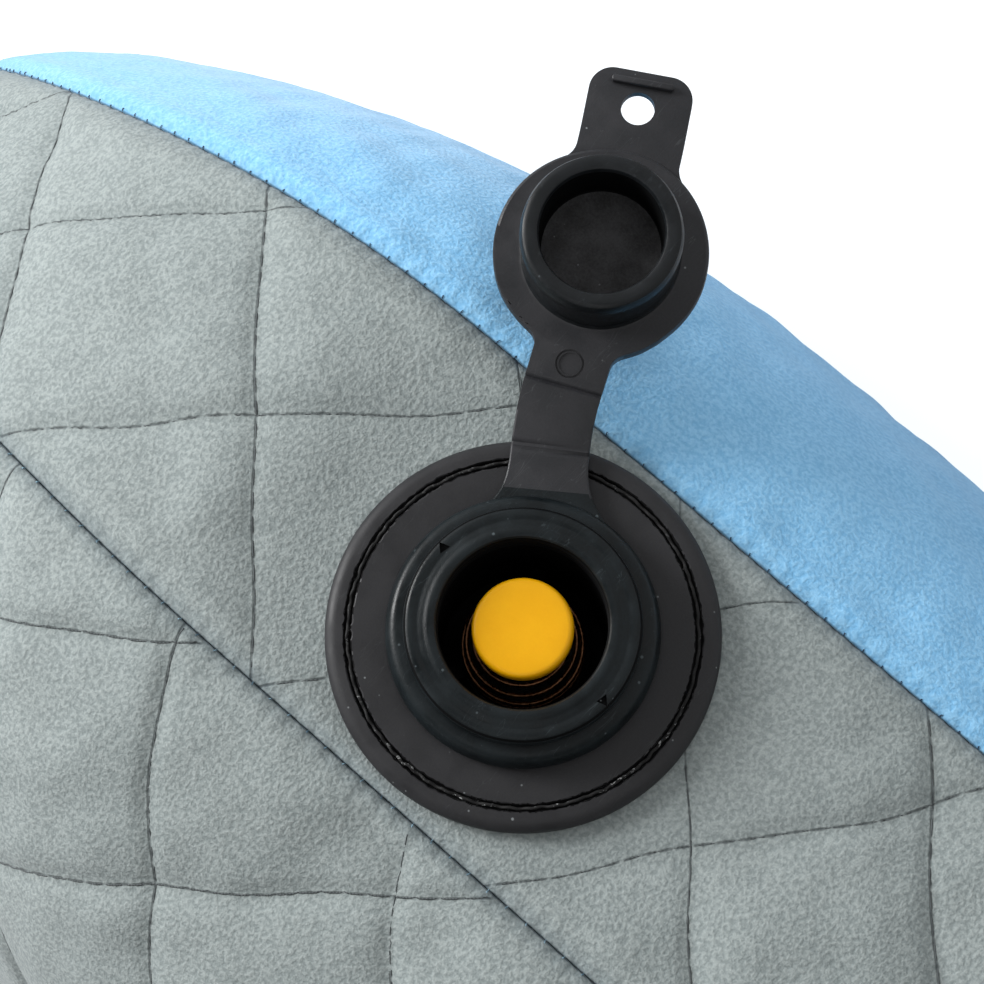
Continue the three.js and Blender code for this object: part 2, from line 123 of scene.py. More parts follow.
def perimeterTable():
    # the outline from the valve, towards +X and round: distance, x, y, cornerness
    points, corners = [np.array([[valveSpot.x / mm, -pillow["halfWidth"]]])], [np.zeros(1)]
    reach = 2.0 / pillow["cornerPower"]
    run = pillow["halfLength"] - pillow["straightHalf"]
    for quadrant in (3, 0, 1, 2):
        turn = (quadrant + np.linspace(1e-7, 1 - 1e-7, 3000)) * math.pi / 2
        c, s = np.cos(turn), np.sin(turn)
        x = np.sign(c) * (pillow["straightHalf"] + run * np.abs(c) ** reach)
        y = np.sign(s) * pillow["halfWidth"] * np.abs(s) ** reach
        points.append(np.column_stack([x, y]))
        corners.append(np.sin(2 * turn) ** 2)
    points.append(points[0])
    corners.append(np.zeros(1))
    path = np.vstack(points)
    return pathLengths(path), path, np.concatenate(corners)


tableRound, tablePath, tableCorner = perimeterTable()
roundLength = tableRound[-1]
nearEnd = tableRound[np.argmax(tablePath[:, 0])]
farEnd = tableRound[np.argmin(tablePath[:, 0])]


def outlineAt(distance):
    d = np.mod(distance, roundLength)
    x = np.interp(d, tableRound, tablePath[:, 0])
    y = np.interp(d, tableRound, tablePath[:, 1])
    before, after = np.mod(d - 1.0, roundLength), np.mod(d + 1.0, roundLength)
    tx = np.interp(after, tableRound, tablePath[:, 0]) - np.interp(before, tableRound, tablePath[:, 0])
    ty = np.interp(after, tableRound, tablePath[:, 1]) - np.interp(before, tableRound, tablePath[:, 1])
    size = np.hypot(tx, ty)
    return np.stack([x, y], -1), np.stack([ty / size, -tx / size], -1), np.interp(d, tableRound, tableCorner)


def fromValve(distance):
    # the same place, counted either way from the valve
    return (distance + roundLength / 2) % roundLength - roundLength / 2


def seamHeightAt(corner, share=1.0):
    return pillow["seamHalf"] * (1.0 - pillow["narrowing"] * corner * share**3)


def faceHeightAt(corner, share, rise, flat):
    edge = pillow["domeEdge"] + (pillow["domeEdgeCorner"] - pillow["domeEdge"]) * corner
    height = seamHeightAt(corner, share) + rise * (1.0 - np.clip(share, 0, 1) ** pillow["domePower"]) ** edge
    if flat <= 0:
        return height
    top = pillow["seamHalf"] + rise - flat
    soft = 1.2                                    # the pressed patch eases in over about this height
    return top - soft * np.logaddexp(0.0, (top - height) / soft)


def waves(seed, count, long, short):
    # a smooth random field of x, y, z in millimetres, always the same for one seed
    rng = np.random.default_rng(seed)
    size = rng.uniform(short, long, count)
    aim = rng.normal(size=(count, 3))
    aim /= np.linalg.norm(aim, axis=1)[:, None]
    shift = rng.uniform(0, 2 * math.pi, count)

    def field(p):
        total = np.zeros(p.shape[:-1])
        for k in range(count):
            total += np.sin(p @ aim[k] * (2 * math.pi / size[k]) + shift[k])
        return total / math.sqrt(count / 2)

    return field


# quilting: two families of slanting lines, cut separately on the panel and the gusset
quilt = {
    "risingLines": [-65.0, -26.0, 1.0, 44.0, 91.0],      # at the gusset's middle, from the valve
    "fallingLines": [-80.0, -37.0, -1.0, 42.0, 91.0],
    "risingLean": 0.9,
    "fallingLean": ([-90.0, -40.0, 0.0, 45.0, 95.0, 150.0], [1.0, 0.8, 0.84, 1.15, 1.45, 1.0]),
    "pitch": 43.0,
    "panelPitch": (43.0, 47.0),
    "panelStart": (-51.5, 225.5),
    "square": 0.7,                    # spacing square to the lines, as a share of the pitch
    "wander": 0.55,
    "stitch": 3.0,
    "puff": 0.85,
    "valley": 0.5,
    "valleyHalf": 1.25,
    "threadWidth": 0.1,
}


gussetPitches = (quilt["pitch"] * quilt["square"],) * 2
panelPitches = tuple(pitch * quilt["square"] for pitch in quilt["panelPitch"])
linesBeyond = 30
wander = waves(11, 7, 60, 16)


def allLines(lines, pitch):
    # the placed lines, and evenly spaced ones on beyond them
    first = [lines[0] - pitch * k for k in range(linesBeyond, 0, -1)]
    last = [lines[-1] + pitch * k for k in range(1, linesBeyond + 1)]
    return first + list(lines) + last


def lineCount(value, lines, pitch):
    # whole numbers lie on the lines
    knots = np.array(allLines(lines, pitch))
    return np.interp(value, knots, np.arange(len(knots)) - float(linesBeyond))


def fallingSlope(distance, z):
    # the falling lines lean more towards the pillow's end
    return np.interp(distance - z, *quilt["fallingLean"]) * z


def gussetQuilt(distance, z, pts):
    shift = quilt["wander"] * wander(pts)
    a = lineCount(distance + quilt["risingLean"] * z + shift, quilt["risingLines"], quilt["pitch"])
    slope = fallingSlope(fromValve(distance), z)
    b = lineCount(distance - slope - shift, quilt["fallingLines"], quilt["pitch"])
    return a, b


def panelQuilt(x, y, pts):
    shift = quilt["wander"] * wander(pts)
    a = (x + y + shift - quilt["panelStart"][0]) / quilt["panelPitch"][0]
    b = (x - y - shift - quilt["panelStart"][1]) / quilt["panelPitch"][1]
    return a, b


def plainPatch(distance, z):
    # no rising line shows on this part of the gusset, over the valve
    return smooth(z, 10.0, 14.0) * smooth(distance, -38.0, -30.0) * (1 - smooth(distance, 6.0, 14.0))


def quiltLift(a, b, pitches, plain=0.0):
    away = [np.abs(v - np.round(v)) * p for v, p in zip((a, b), pitches)]
    away[0] = np.maximum(away[0], 0.3 * pitches[0] * plain)
    plump = np.ones_like(a)
    lift = np.zeros_like(a)
    for away1, p in zip(away, pitches):
        plump = plump * np.sin(np.clip(away1 / p, 0, 0.5) * math.pi) ** 0.6
        lift = lift - quilt["valley"] * np.exp(-(away1 / quilt["valleyHalf"]) ** 1.4)
    return lift + quilt["puff"] * plump


seam = {"dip": 0.75, "dipHalf": 0.75, "roll": 0.35, "pucker": 0.16, "puckerLength": 3.0}
folds = waves(5, 16, 46, 15)
dents = waves(8, 14, 15, 6)
slack = waves(21, 9, 150, 70)
cloth = {
    "gather": 0.5, "gatherFades": 26.0, "slack": 0.9, "dent": 0.10,      # the panels
    "underCalm": 0.12,                                                   # the under side is pulled smoother
    "bulge": 1.5, "gussetFold": 0.22, "gussetDent": 0.10,
}


def seamLift(away, distance):
    # the cloth turns in at a sewn edge, with small puckers beside it
    turned = -seam["dip"] * np.exp(-(np.abs(away) / seam["dipHalf"]) ** 1.3)
    rolled = seam["roll"] * np.exp(-((away - 3.2) / 2.2) ** 2)
    small = seam["pucker"] * np.sin(distance * 2 * math.pi / seam["puckerLength"])
    return turned + rolled + small * np.exp(-(away / 2.2) ** 2)


def valveAway(pts):
    centre = np.array([valveSpot.x / mm, valveSpot.y / mm, 0.0])
    return np.linalg.norm(pts - centre, axis=-1)


def nearValve(lift, away):
    # the cloth lies flat under the flange and is held down round it
    free = smooth(away, pillow["heldTo"], pillow["freeFrom"])
    return lift * free + pillow["held"] * (1.0 - free)


grids = {}


def columnPlaces(start, stop):
    # distances round the outline: close together by the valve, wider elsewhere
    fine = np.arange(start, stop, 0.25)
    step = 0.85 + 1.45 * smooth(np.abs(fromValve(fine) - 8.0), 92.0, 135.0)
    count = np.concatenate([[0], np.cumsum(0.25 / step[:-1])])
    total = int(round(count[-1]))
    places = np.interp(np.linspace(0, count[-1], total + 1), count, fine)
    places[-1] = stop
    return places


frontPlaces = columnPlaces(farEnd - roundLength, nearEnd)
backPlaces = columnPlaces(nearEnd, farEnd)


def newPiece(name, points, faces):
    mesh = bpy.data.meshes.new(name)
    mesh.from_pydata((points * mm).tolist(), [], faces)
    mesh.polygons.foreach_set("use_smooth", np.ones(len(mesh.polygons), bool))
    mesh.update()
    piece = bpy.data.objects.new(name, mesh)
    bpy.context.scene.collection.objects.link(piece)
    return piece


def sheetMesh(name, outer, inner, closed, quiltUv, edgeUv):
    # outer and inner: rows of points; row 0 is the sewn edge; the two are joined into a shell
    # a closed one runs all the way round and is filled in the middle
    rows, columns = outer.shape[:2]
    innerRows = inner.shape[0]
    points = [outer.reshape(-1, 3), inner.reshape(-1, 3)]
    start = rows * columns
    faces = []
    stepColumn = columns if closed else columns - 1

    def grid(first, rowCount, flip):
        r = np.arange(rowCount - 1)[:, None]
        c = np.arange(stepColumn)[None, :]
        n = (c + 1) % columns
        quads = np.stack([first + r * columns + c, first + r * columns + n,
                          first + (r + 1) * columns + n, first + (r + 1) * columns + c], -1).reshape(-1, 4)
        return quads[:, ::-1] if flip else quads

    faces.append(grid(0, rows, False))
    faces.append(grid(start, innerRows, True))
    c = np.arange(stepColumn)
    n = (c + 1) % columns
    faces.append(np.stack([start + c, start + n, n, c], -1))
    tris = []
    lastOuter, lastInner = (rows - 1) * columns, start + (innerRows - 1) * columns
    if closed:
        points.append(outer[-1].mean(0)[None])
        points.append(inner[-1].mean(0)[None])
        top, low = start + innerRows * columns, start + innerRows * columns + 1
        tris.append(np.stack([lastOuter + c, lastOuter + n, np.full_like(c, top)], -1))
        tris.append(np.stack([lastInner + n, lastInner + c, np.full_like(c, low)], -1))
    else:
        faces.append(np.stack([lastOuter + c, lastOuter + n, lastInner + n, lastInner + c], -1))
        r = np.arange(rows - 1)
        for edge, flip in ((0, False), (columns - 1, True)):
            side = np.stack([r * columns + edge, (r + 1) * columns + edge,
                             start + (r + 1) * columns + edge, start + r * columns + edge], -1)
            faces.append(side[:, ::-1] if flip else side)
    allPoints = np.vstack(points)
    polygons = [tuple(f) for f in np.vstack(faces).tolist()]
    if tris:
        polygons += [tuple(f) for f in np.vstack(tris).tolist()]
    cover = newPiece(name, allPoints, polygons)
    mesh = cover.data
    loops = np.zeros(len(mesh.loops), np.int32)
    mesh.loops.foreach_get("vertex_index", loops)
    for label, values in (("quilt", quiltUv), ("edge", edgeUv)):
        layer = mesh.uv_layers.new(name=label)
        flat = np.zeros((len(allPoints), 2))
        flat[:start] = values.reshape(-1, 2)
        folded = np.resize(values[0], (innerRows, columns, 2))
        flat[start:start + innerRows * columns] = folded.reshape(-1, 2)
        if closed:
            flat[-2:] = values[-1].mean(0)
        perLoop = flat[loops]
        if closed and label == "edge":
            # the last column's faces would run back to zero
            starts = np.zeros(len(mesh.polygons), np.int32)
            totals = np.zeros(len(mesh.polygons), np.int32)
            mesh.polygons.foreach_get("loop_start", starts)
            mesh.polygons.foreach_get("loop_total", totals)
            for corner in range(4):
                use = starts[totals > corner] + corner
                first = perLoop[starts[totals > corner], 0]
                gap = perLoop[use, 0] - first
                perLoop[use, 0] -= np.round(gap / roundLength) * roundLength
        layer.data.foreach_set("uv", perLoop.astype(np.float32).ravel())
    mesh.validate()
    mesh.update()
    return cover


def surfaceNormals(points):
    onward = np.roll(points, -1, 1) - np.roll(points, 1, 1)
    inward = np.gradient(points, axis=0)
    normal = np.cross(onward, inward)
    return normal / np.maximum(np.linalg.norm(normal, axis=-1, keepdims=True), 1e-9)


def ringShares(rise, flat):
    # shares of the way out, with rings close together by the seam
    share = np.linspace(1.0, 0.0, 20001)
    height = faceHeightAt(0.0, share, rise, flat)
    path = np.concatenate([[0], np.cumsum(np.hypot(np.diff(share) * pillow["halfWidth"], np.diff(height)))])
    places, spot = [0.0], 0.0
    while spot < path[-1] - 7.0:
        spot += 0.55 + 0.45 * smooth(spot, 3.0, 9.0) + 1.6 * smooth(spot, 52.0, 90.0)
        places.append(spot)
    return np.interp(places, path, share)


def makePanel(name, side, rise, flat, quilted, seed):
    places = np.concatenate([frontPlaces[:-1], backPlaces[:-1]])
    path, outSide, corner = outlineAt(places)
    share = ringShares(rise, flat)[:, None]
    height = faceHeightAt(corner[None], share, rise, flat) + 0.05
    flatPoints = np.stack([path[:, 0] * share, path[:, 1] * share, height], -1)
    away = np.zeros(height.shape)
    away[1:] = np.cumsum(np.linalg.norm(np.diff(flatPoints, axis=0), axis=2), axis=0)
    whole = away[-1] + np.linalg.norm(flatPoints[-1, :, :2], axis=1)
    ray = path / np.linalg.norm(path, axis=1)[:, None]
    # where each point lies on the panel as it was cut
    cutX, cutY = ray[:, 0] * (whole - away), ray[:, 1] * (whole - away)
    normal = surfaceNormals(flatPoints)
    if normal[len(share) // 2, :, 2].mean() < 0:
        normal = -normal
    level = np.concatenate([outSide, np.zeros((len(path), 1))], 1)[None]
    near = np.exp(-(away / 2.5) ** 2)[..., None]
    normal = normal * (1 - near) + level * near
    normal /= np.linalg.norm(normal, axis=-1, keepdims=True)
    distance = np.broadcast_to(places[None], away.shape)
    lift = seamLift(away, distance + (0 if side > 0 else 1.1))
    # soft gathers run in from the seam and fade
    fading = np.exp(-(away / cloth["gatherFades"]) ** 2)
    gather = folds(flatPoints * [1, 1, 0.6] + seed) * fading * smooth(away, 0, 5)
    wide = cloth["gather"] * gather + cloth["slack"] * slack(flatPoints + seed) * smooth(away, 2, 40)
    small = cloth["dent"] * dents(flatPoints + seed) * smooth(away, 0, 4)
    calm = 1.0 if quilted else cloth["underCalm"]
    lift = lift + calm * wide + small
    if quilted:
        a, b = panelQuilt(cutX, cutY, flatPoints)
        lift = lift + quiltLift(a, b, panelPitches) * smooth(away, 0.5, 6.0)
        quiltUv = np.stack([a, b], -1)
    else:
        quiltUv = np.stack([cutX / quilt["pitch"], cutY / quilt["pitch"]], -1)
        top = pillow["seamHalf"] + rise - flat
        pressed = smooth(height, top - 2.5, top - 0.3)
        lift = lift * (1 - pressed)
    lift = np.maximum(lift + 0.3 * smooth(away, 3, 12), -0.85 - 0.5 * np.exp(-(away / 2.0) ** 2))
    outer = flatPoints + normal * lift[..., None]
    pick = np.unique(np.linspace(0, len(share) - 1, 14).astype(int))
    inner = (flatPoints + normal * (np.minimum(lift, 0.0) - pillow["clothThick"])[..., None])[pick]
    for grid in (outer, inner):
        grid[..., 2] = side * grid[..., 2] + midHeight
        grid[..., 2] = np.maximum(grid[..., 2], 0.05 if grid is outer else 0.6)
    edgeUv = np.stack([distance, away], -1)
    cover = sheetMesh(name, outer, inner, True, quiltUv, edgeUv)
    if side < 0:
        cover.data.flip_normals()
    grids[name] = {"points": outer, "away": away, "places": places, "whole": whole, "ray": ray}
    return cover


def makeGusset(name, places):
    path, outSide, corner = outlineAt(places)
    half = seamHeightAt(corner)
    share = np.linspace(1.0, -1.0, 60)
    share = np.sign(share) * (1 - (1 - np.abs(share)) ** 1.08)
    z = half[None] * share[:, None]
    z = z - np.sign(z) * 0.05 * (np.abs(share[:, None]) > 0.999)
    base = np.stack([np.broadcast_to(path[:, 0], z.shape), np.broadcast_to(path[:, 1], z.shape), z], -1)
    away = half[None] - np.abs(z)
    distance = np.broadcast_to(places[None], z.shape)
    fromEnd = np.minimum(np.abs(distance - places[0]), np.abs(distance - places[-1]))
    level = np.broadcast_to(np.concatenate([outSide, np.zeros((len(path), 1))], 1)[None], base.shape)
    bulge = cloth["bulge"] * (1 - share[:, None] ** 2)
    a, b = gussetQuilt(distance, z, base)
    inside = smooth(away, 0.3, 4.5) * smooth(fromEnd, 0.3, 5.0)
    plain = plainPatch(fromValve(distance), z)
    creased = cloth["gussetFold"] * folds(base)
    dented = cloth["gussetDent"] * dents(base)
    lift = (quiltLift(a, b, gussetPitches, plain) + bulge + creased + dented) * inside
    free = nearValve(lift, valveAway(base))
    lift = free + seamLift(away, distance) * smooth(valveAway(base), 24.0, 27.0)
    lift = lift + seamLift(fromEnd, z) * smooth(away, 0.0, 2.0)
    outer = base + level * lift[..., None]
    inner = base + level * (np.minimum(lift, 0.0) - pillow["clothThick"])[..., None]
    outer[..., 2] += midHeight
    inner[..., 2] += midHeight
    quiltUv = np.stack([a, b], -1)
    edgeUv = np.stack([distance, away], -1)
    grids[name] = {"points": outer, "places": places, "z": z, "half": half}
    return sheetMesh(name, outer, inner, False, quiltUv, edgeUv)


print("covers")
topCover = makePanel("top_cover", 1, pillow["topRise"], 0.0, True, 0.0)
underCover = makePanel("under_cover", -1, pillow["underRise"], pillow["underFlat"], False, 40.0)
frontGusset = makeGusset("front_gusset", frontPlaces)
backGusset = makeGusset("back_gusset", backPlaces)
for cover in (topCover, underCover, frontGusset, backGusset):
    shell = bmesh.new()
    shell.from_mesh(cover.data)
    volume = shell.calc_volume(signed=True)
    if volume < 0:
        bmesh.ops.reverse_faces(shell, faces=shell.faces[:])
        shell.to_mesh(cover.data)
    shell.free()
    print(" ", cover.name, len(cover.data.polygons), "faces, volume", round(volume * 1e9), "mm3")


def gridPoint(grid, row, column):
    # a point of a grid at fractional row and column
    rows, columns = grid.shape[:2]
    r = np.clip(np.floor(row).astype(int), 0, rows - 2)
    c = np.clip(np.floor(column).astype(int), 0, columns - 2)
    u, v = (row - r)[:, None], (column - c)[:, None]
    near = grid[r, c] * (1 - v) + grid[r, c + 1] * v
    far = grid[r + 1, c] * (1 - v) + grid[r + 1, c + 1] * v
    return near * (1 - u) + far * u


def evenly(points, step):
    size = pathLengths(points)
    if size[-1] < 3 * step:
        return None, None
    spots = np.arange(0, size[-1], step)
    return np.column_stack([np.interp(spots, size, points[:, k]) for k in range(3)]), spots


def tubeMesh(name, paths, radius, sides):
    # each path is a line of points; all become closed thin tubes in one mesh
    points, faces, start = [], [], 0
    for path in paths:
        aim = np.gradient(path, axis=0)
        aim /= np.maximum(np.linalg.norm(aim, axis=1, keepdims=True), 1e-9)
        helper = np.where(np.abs(aim[:, [2]]) < 0.8, [[0.0, 0.0, 1.0]], [[1.0, 0.0, 0.0]])
        first = np.cross(aim, helper)
        first /= np.linalg.norm(first, axis=1, keepdims=True)
        second = np.cross(aim, first)
        turn = np.arange(sides) * 2 * math.pi / sides
        tube = path[:, None] + radius * (first[:, None] * np.cos(turn)[None, :, None]
                                         + second[:, None] * np.sin(turn)[None, :, None])
        points.append(tube.reshape(-1, 3))
        count = len(path)
        r = np.arange(count - 1)[:, None] * sides
        c = np.arange(sides)[None]
        n = (c + 1) % sides
        quads = np.stack([start + r + c, start + r + n, start + r + sides + n, start + r + sides + c], -1)
        faces += quads.reshape(-1, 4).tolist()
        faces.append([start + k for k in range(sides)][::-1])
        faces.append([start + (count - 1) * sides + k for k in range(sides)])
        start += count * sides
    return fixNormals(newPiece(name, np.vstack(points), faces))


def fixNormals(piece):
    work = bmesh.new()
    work.from_mesh(piece.data)
    bmesh.ops.recalc_face_normals(work, faces=work.faces[:])
    work.to_mesh(piece.data)
    work.free()
    return piece


def stitched(points, lift):
    # thread over and under the cloth: up for most of a stitch, down at its ends
    path, spots = evenly(points, quilt["stitch"] / 5)
    if path is None:
        return None
    away = lift / np.maximum(np.linalg.norm(lift), 1e-9)
    phase = np.cos(spots * 2 * math.pi / quilt["stitch"])
    height = -0.02 - 0.22 * np.clip(phase - 0.25, 0, 1) / 0.75
    return path + away * height[:, None]


def keptRuns(keep, least):
    # unbroken runs of more than the least number of kept points
    runs = np.split(np.arange(len(keep)), np.flatnonzero(np.diff(keep.astype(int))) + 1)
    return [run for run in runs if len(run) > least and keep[run[0]]]


def gussetThreads(name, gussetName):
    grid = grids[gussetName]
    points, places = grid["points"], grid["places"]
    base = grid["z"]
    paths = []
    low, high = places[0], places[-1]
    for family in ("risingLines", "fallingLines"):
        sign = 1.0 if family == "risingLines" else -1.0
        for middle in allLines(quilt[family], quilt["pitch"]):
            z = np.linspace(-25.4, 25.4, 170)
            where = middle - sign * z
            for again in range(6):
                path, side, corner = outlineAt(where)
                spot = np.stack([path[:, 0], path[:, 1], z], -1)
                near = fromValve(where)
                slope = quilt["risingLean"] * z if sign > 0 else -fallingSlope(near, z)
                where = middle - slope - sign * quilt["wander"] * wander(spot)
            half = seamHeightAt(corner)
            column = np.interp(where, places, np.arange(len(places)))
            keep = (where > low + 1.5) & (where < high - 1.5) & (np.abs(z) < half - 0.7)
            keep &= valveAway(spot) > 24.6
            if sign > 0:
                keep &= plainPatch(near, z) < 0.5
            row = np.zeros(len(z))
            for k in np.flatnonzero(keep):
                c = int(column[k])
                row[k] = np.interp(-z[k], -base[:, c], np.arange(base.shape[0]))
            for run in keptRuns(keep, 6):
                line = gridPoint(points, row[run], column[run])
                out = np.array([side[run, 0].mean(), side[run, 1].mean(), 0.0])
                thread = stitched(line, out)
                if thread is not None:
                    paths.append(thread)
    return tubeMesh(name, paths, quilt["threadWidth"], 4)


def panelThreads(name, panelName):
    grid = grids[panelName]
    points, away, whole, ray = grid["points"], grid["away"], grid["whole"], grid["ray"]
    angle = np.unwrap(np.arctan2(ray[:, 1], ray[:, 0]))
    angle = np.concatenate([angle, [angle[0] + 2 * math.pi]])
    closed = np.concatenate([points, points[:, :1]], 1)
    awayClosed = np.concatenate([away, away[:, :1]], 1)
    wholeClosed = np.concatenate([whole, whole[:1]])
    paths = []
    for family in (0, 1):
        pitch, start = quilt["panelPitch"][family], quilt["panelStart"][family]
        for k in range(-14, 15):
            total = start + pitch * k
            slide = np.linspace(-420, 420, 1100)
            if family == 0:
                x, y = (total + slide) / 2, (total - slide) / 2
            else:
                x, y = (total + slide) / 2, (slide - total) / 2
            for again in range(2):
                turn = np.arctan2(y, x)
                turn = angle[0] + np.mod(turn - angle[0], 2 * math.pi)
                column = np.interp(turn, angle, np.arange(len(angle)))
                c = column.astype(int)
                reach = np.interp(column, np.arange(len(wholeClosed)), wholeClosed)
                inside = reach - np.hypot(x, y)
                row = np.full(len(x), -1.0)
                for j in np.flatnonzero(inside > 0.7):
                    row[j] = np.interp(inside[j], awayClosed[:, c[j]], np.arange(away.shape[0]))
                line = gridPoint(closed, np.maximum(row, 0), column)
                if again == 0:
                    flat = line - [0, 0, midHeight]
                    shift = quilt["wander"] * wander(flat) / 2
                    x, y = (x - shift, y - shift) if family == 0 else (x + shift, y - shift)
            keep = row > 0.5
            for run in keptRuns(keep, 8):
                thread = stitched(line[run], np.array([0.0, 0.0, 1.0]))
                if thread is not None:
                    paths.append(thread)
    return tubeMesh(name, paths, quilt["threadWidth"], 4)


def seamStitches(name, panelName, side, reachPanel, reachGusset, radius, loose):
    # short stitches that cross the sewn edge
    grid = grids[panelName]
    points, away, places = grid["points"], grid["away"], grid["places"]
    rng = np.random.default_rng(31 + side)
    paths = []
    for spot in np.arange(0.0, roundLength - 1.0, seam["puckerLength"]):
        where = spot if spot < places[-1] else spot - roundLength
        column = float(np.interp(where, places, np.arange(len(places))))
        jitter = rng.uniform(-0.25, 0.25, 2)
        long = reachPanel * rng.uniform(0.55, 1.25)
        c = int(np.clip(round(column), 0, len(places) - 1))
        rows = np.interp(np.linspace(0.0, long, 4), away[:, c], np.arange(away.shape[0]))
        columns = np.clip(column + np.linspace(0, jitter[0], 4), 0, len(places) - 1.001)
        run = gridPoint(points, rows, columns)
        centre, outSide, corner = outlineAt(np.array([where]))
        out = np.array([outSide[0, 0], outSide[0, 1], 0.0])
        bow = np.array([-0.15, 0.16, 0.14, -0.2])[:, None] + loose * rng.uniform(0.0, 1.0)
        run = run + out * bow
        start = run[0] + [0, 0, -side * (reachGusset + 0.1)] + out * (0.1 - 0.3 * reachGusset)
        paths.append(np.vstack([start[None], run]))
    return tubeMesh(name, paths, radius, 4)


print("threads")
topThread = panelThreads("quilt_thread_top", "top_cover")
frontThread = gussetThreads("quilt_thread_front", "front_gusset")
backThread = gussetThreads("quilt_thread_back", "back_gusset")
underStitches = seamStitches("seam_stitches_under", "under_cover", -1, 0.45, 0.3, 0.09, 0.0)
topStitches = seamStitches("seam_stitches_top", "top_cover", 1, 0.4, 0.35, 0.08, 0.10)

# turned and moulded pieces, in the valve's own place: +Z out of the pillow, millimetres
valve = {
    "sides": 144,
    "bore": 10.3, "tube": 11.6, "neck": 12.6, "lip": 14.3, "rim": 11.6,
    "lipLow": 6.3, "lipTop": 8.4, "mouth": 8.8, "seatLow": -16.0, "seat": 7.6,
    "markRadius": 13.25, "markSize": 0.95, "markAngles": (57.0, 237.0), "markDepth": 0.45,
    "hubTop": -9.0, "hubLow": -11.2, "hub": 3.6, "hubBore": 2.3, "spoke": 1.8,
}
flange = {
    "hole": 14.0, "edge": 24.0, "low": 0.3, "top": 2.5,
    "groove": 21.2, "grooveHalf": 0.46, "grooveDepth": 0.62, "ragged": 0.09,
    "stitches": 50, "threadRadius": 0.2,
}
button = {"radius": 6.15, "top": 6.0, "low": 4.0, "stem": 2.0, "end": -21.2, "round": 0.75, "sides": 120}
coil = {"radius": 5.0, "foot": 7.5, "wire": 0.32, "low": -8.35, "high": 3.35, "turns": 5}
ring = {"inner": 12.9, "outer": 16.6, "low": 2.8, "high": 6.0}
strap = {
    "half": 4.8, "thick": 1.4, "flare": 3.4, "creaseDepth": 0.34, "edge": 0.26,
    "spread": 0.45, "bow": 1.25, "bowAt": 26.0, "bowLong": 10.0,
    "sway": 1.3, "swayFrom": 39.5, "swayTo": 64.0,
}
cap = {
    "centre": 17.2, "disc": 13.2, "proud": 0.8, "plug": 9.6, "plugInner": 7.55, "plugHigh": 9.0,
    "bead": 0.25, "lean": 2.0,
    "tabHalf": 6.5, "tabEnd": 41.0, "tabRound": 3.0, "hole": 2.1, "holeAt": 36.2,
    "filletNear": 2.2, "filletFar": 3.0,
    "gripHalf": 3.9, "gripFrom": 39.0, "gripTo": 39.85, "gripHigh": 0.9,
    "ejector": 1.75, "ejectorAt": 2.7, "ejectorLevel": 0.47, "ejectorLean": 0.25,
}


def editAll():
    bpy.ops.object.mode_set(mode="EDIT")
    bpy.ops.mesh.select_mode(type="VERT")
    bpy.ops.mesh.select_all(action="SELECT")


def leaveEdit():
    bpy.ops.object.mode_set(mode="OBJECT")


def settle(piece, place=None):
    # its place goes into its mesh
    bpy.context.view_layer.update()
    piece.data.transform(piece.matrix_world)
    piece.matrix_world = Matrix.Identity(4)
    if place is not None:
        piece.data.transform(place)
    piece.data.update()
    return piece


def applied(piece, kind, **settings):
    modifier = piece.modifiers.new(kind.title(), kind)
    for label, value in settings.items():
        setattr(modifier, label, value)
    bpy.context.view_layer.objects.active = piece
    with bpy.context.temp_override(object=piece, active_object=piece, selected_objects=[piece]):
        bpy.ops.object.modifier_apply(modifier=modifier.name)
    return piece


def softenEdges(piece, width, sharper):
    # rounds every edge that turns by more than this many degrees
    applied(piece, "BEVEL", width=width * mm, segments=3, limit_method="ANGLE",
            angle_limit=math.radians(sharper))


def combine(piece, operation, *others):
    for other in others:
        applied(piece, "BOOLEAN", operation=operation, solver="EXACT", object=other)
        bpy.data.objects.remove(other)
    return piece


def smoothShade(piece, degrees=32):
    bpy.ops.object.select_all(action="DESELECT")
    piece.select_set(True)
    bpy.context.view_layer.objects.active = piece
    bpy.ops.object.shade_smooth_by_angle(angle=math.radians(degrees))
    return piece


def turnPiece(name, profile, sides, solid=False, bevel=0.0):
    # a circle drawn out step by step along the profile (radius, height)
    bpy.ops.object.select_all(action="DESELECT")
    radius, level = profile[0]
    fill = "NGON" if solid else "NOTHING"
    bpy.ops.mesh.primitive_circle_add(vertices=sides, radius=radius * mm, fill_type=fill,
                                      location=(0, 0, level * mm))
    piece = bpy.context.object
    piece.name = name
    editAll()
    if solid:
        bpy.ops.mesh.select_mode(type="FACE")
    steps = list(profile[1:]) + ([] if solid else [profile[0]])
    for nextRadius, nextLevel in steps:
        bpy.ops.mesh.extrude_region_move(
            TRANSFORM_OT_translate={"value": (0, 0, (nextLevel - level) * mm)})
        grow = nextRadius / radius
        bpy.ops.transform.resize(value=(grow, grow, 1), center_override=(0, 0, nextLevel * mm))
        radius, level = nextRadius, nextLevel
    bpy.ops.mesh.select_mode(type="VERT")
    bpy.ops.mesh.select_all(action="SELECT")
    bpy.ops.mesh.remove_doubles(threshold=1e-6)
    bpy.ops.mesh.normals_make_consistent(inside=False)
    leaveEdit()
    settle(piece)
    if bevel:
        softenEdges(piece, bevel, 35)
    return piece


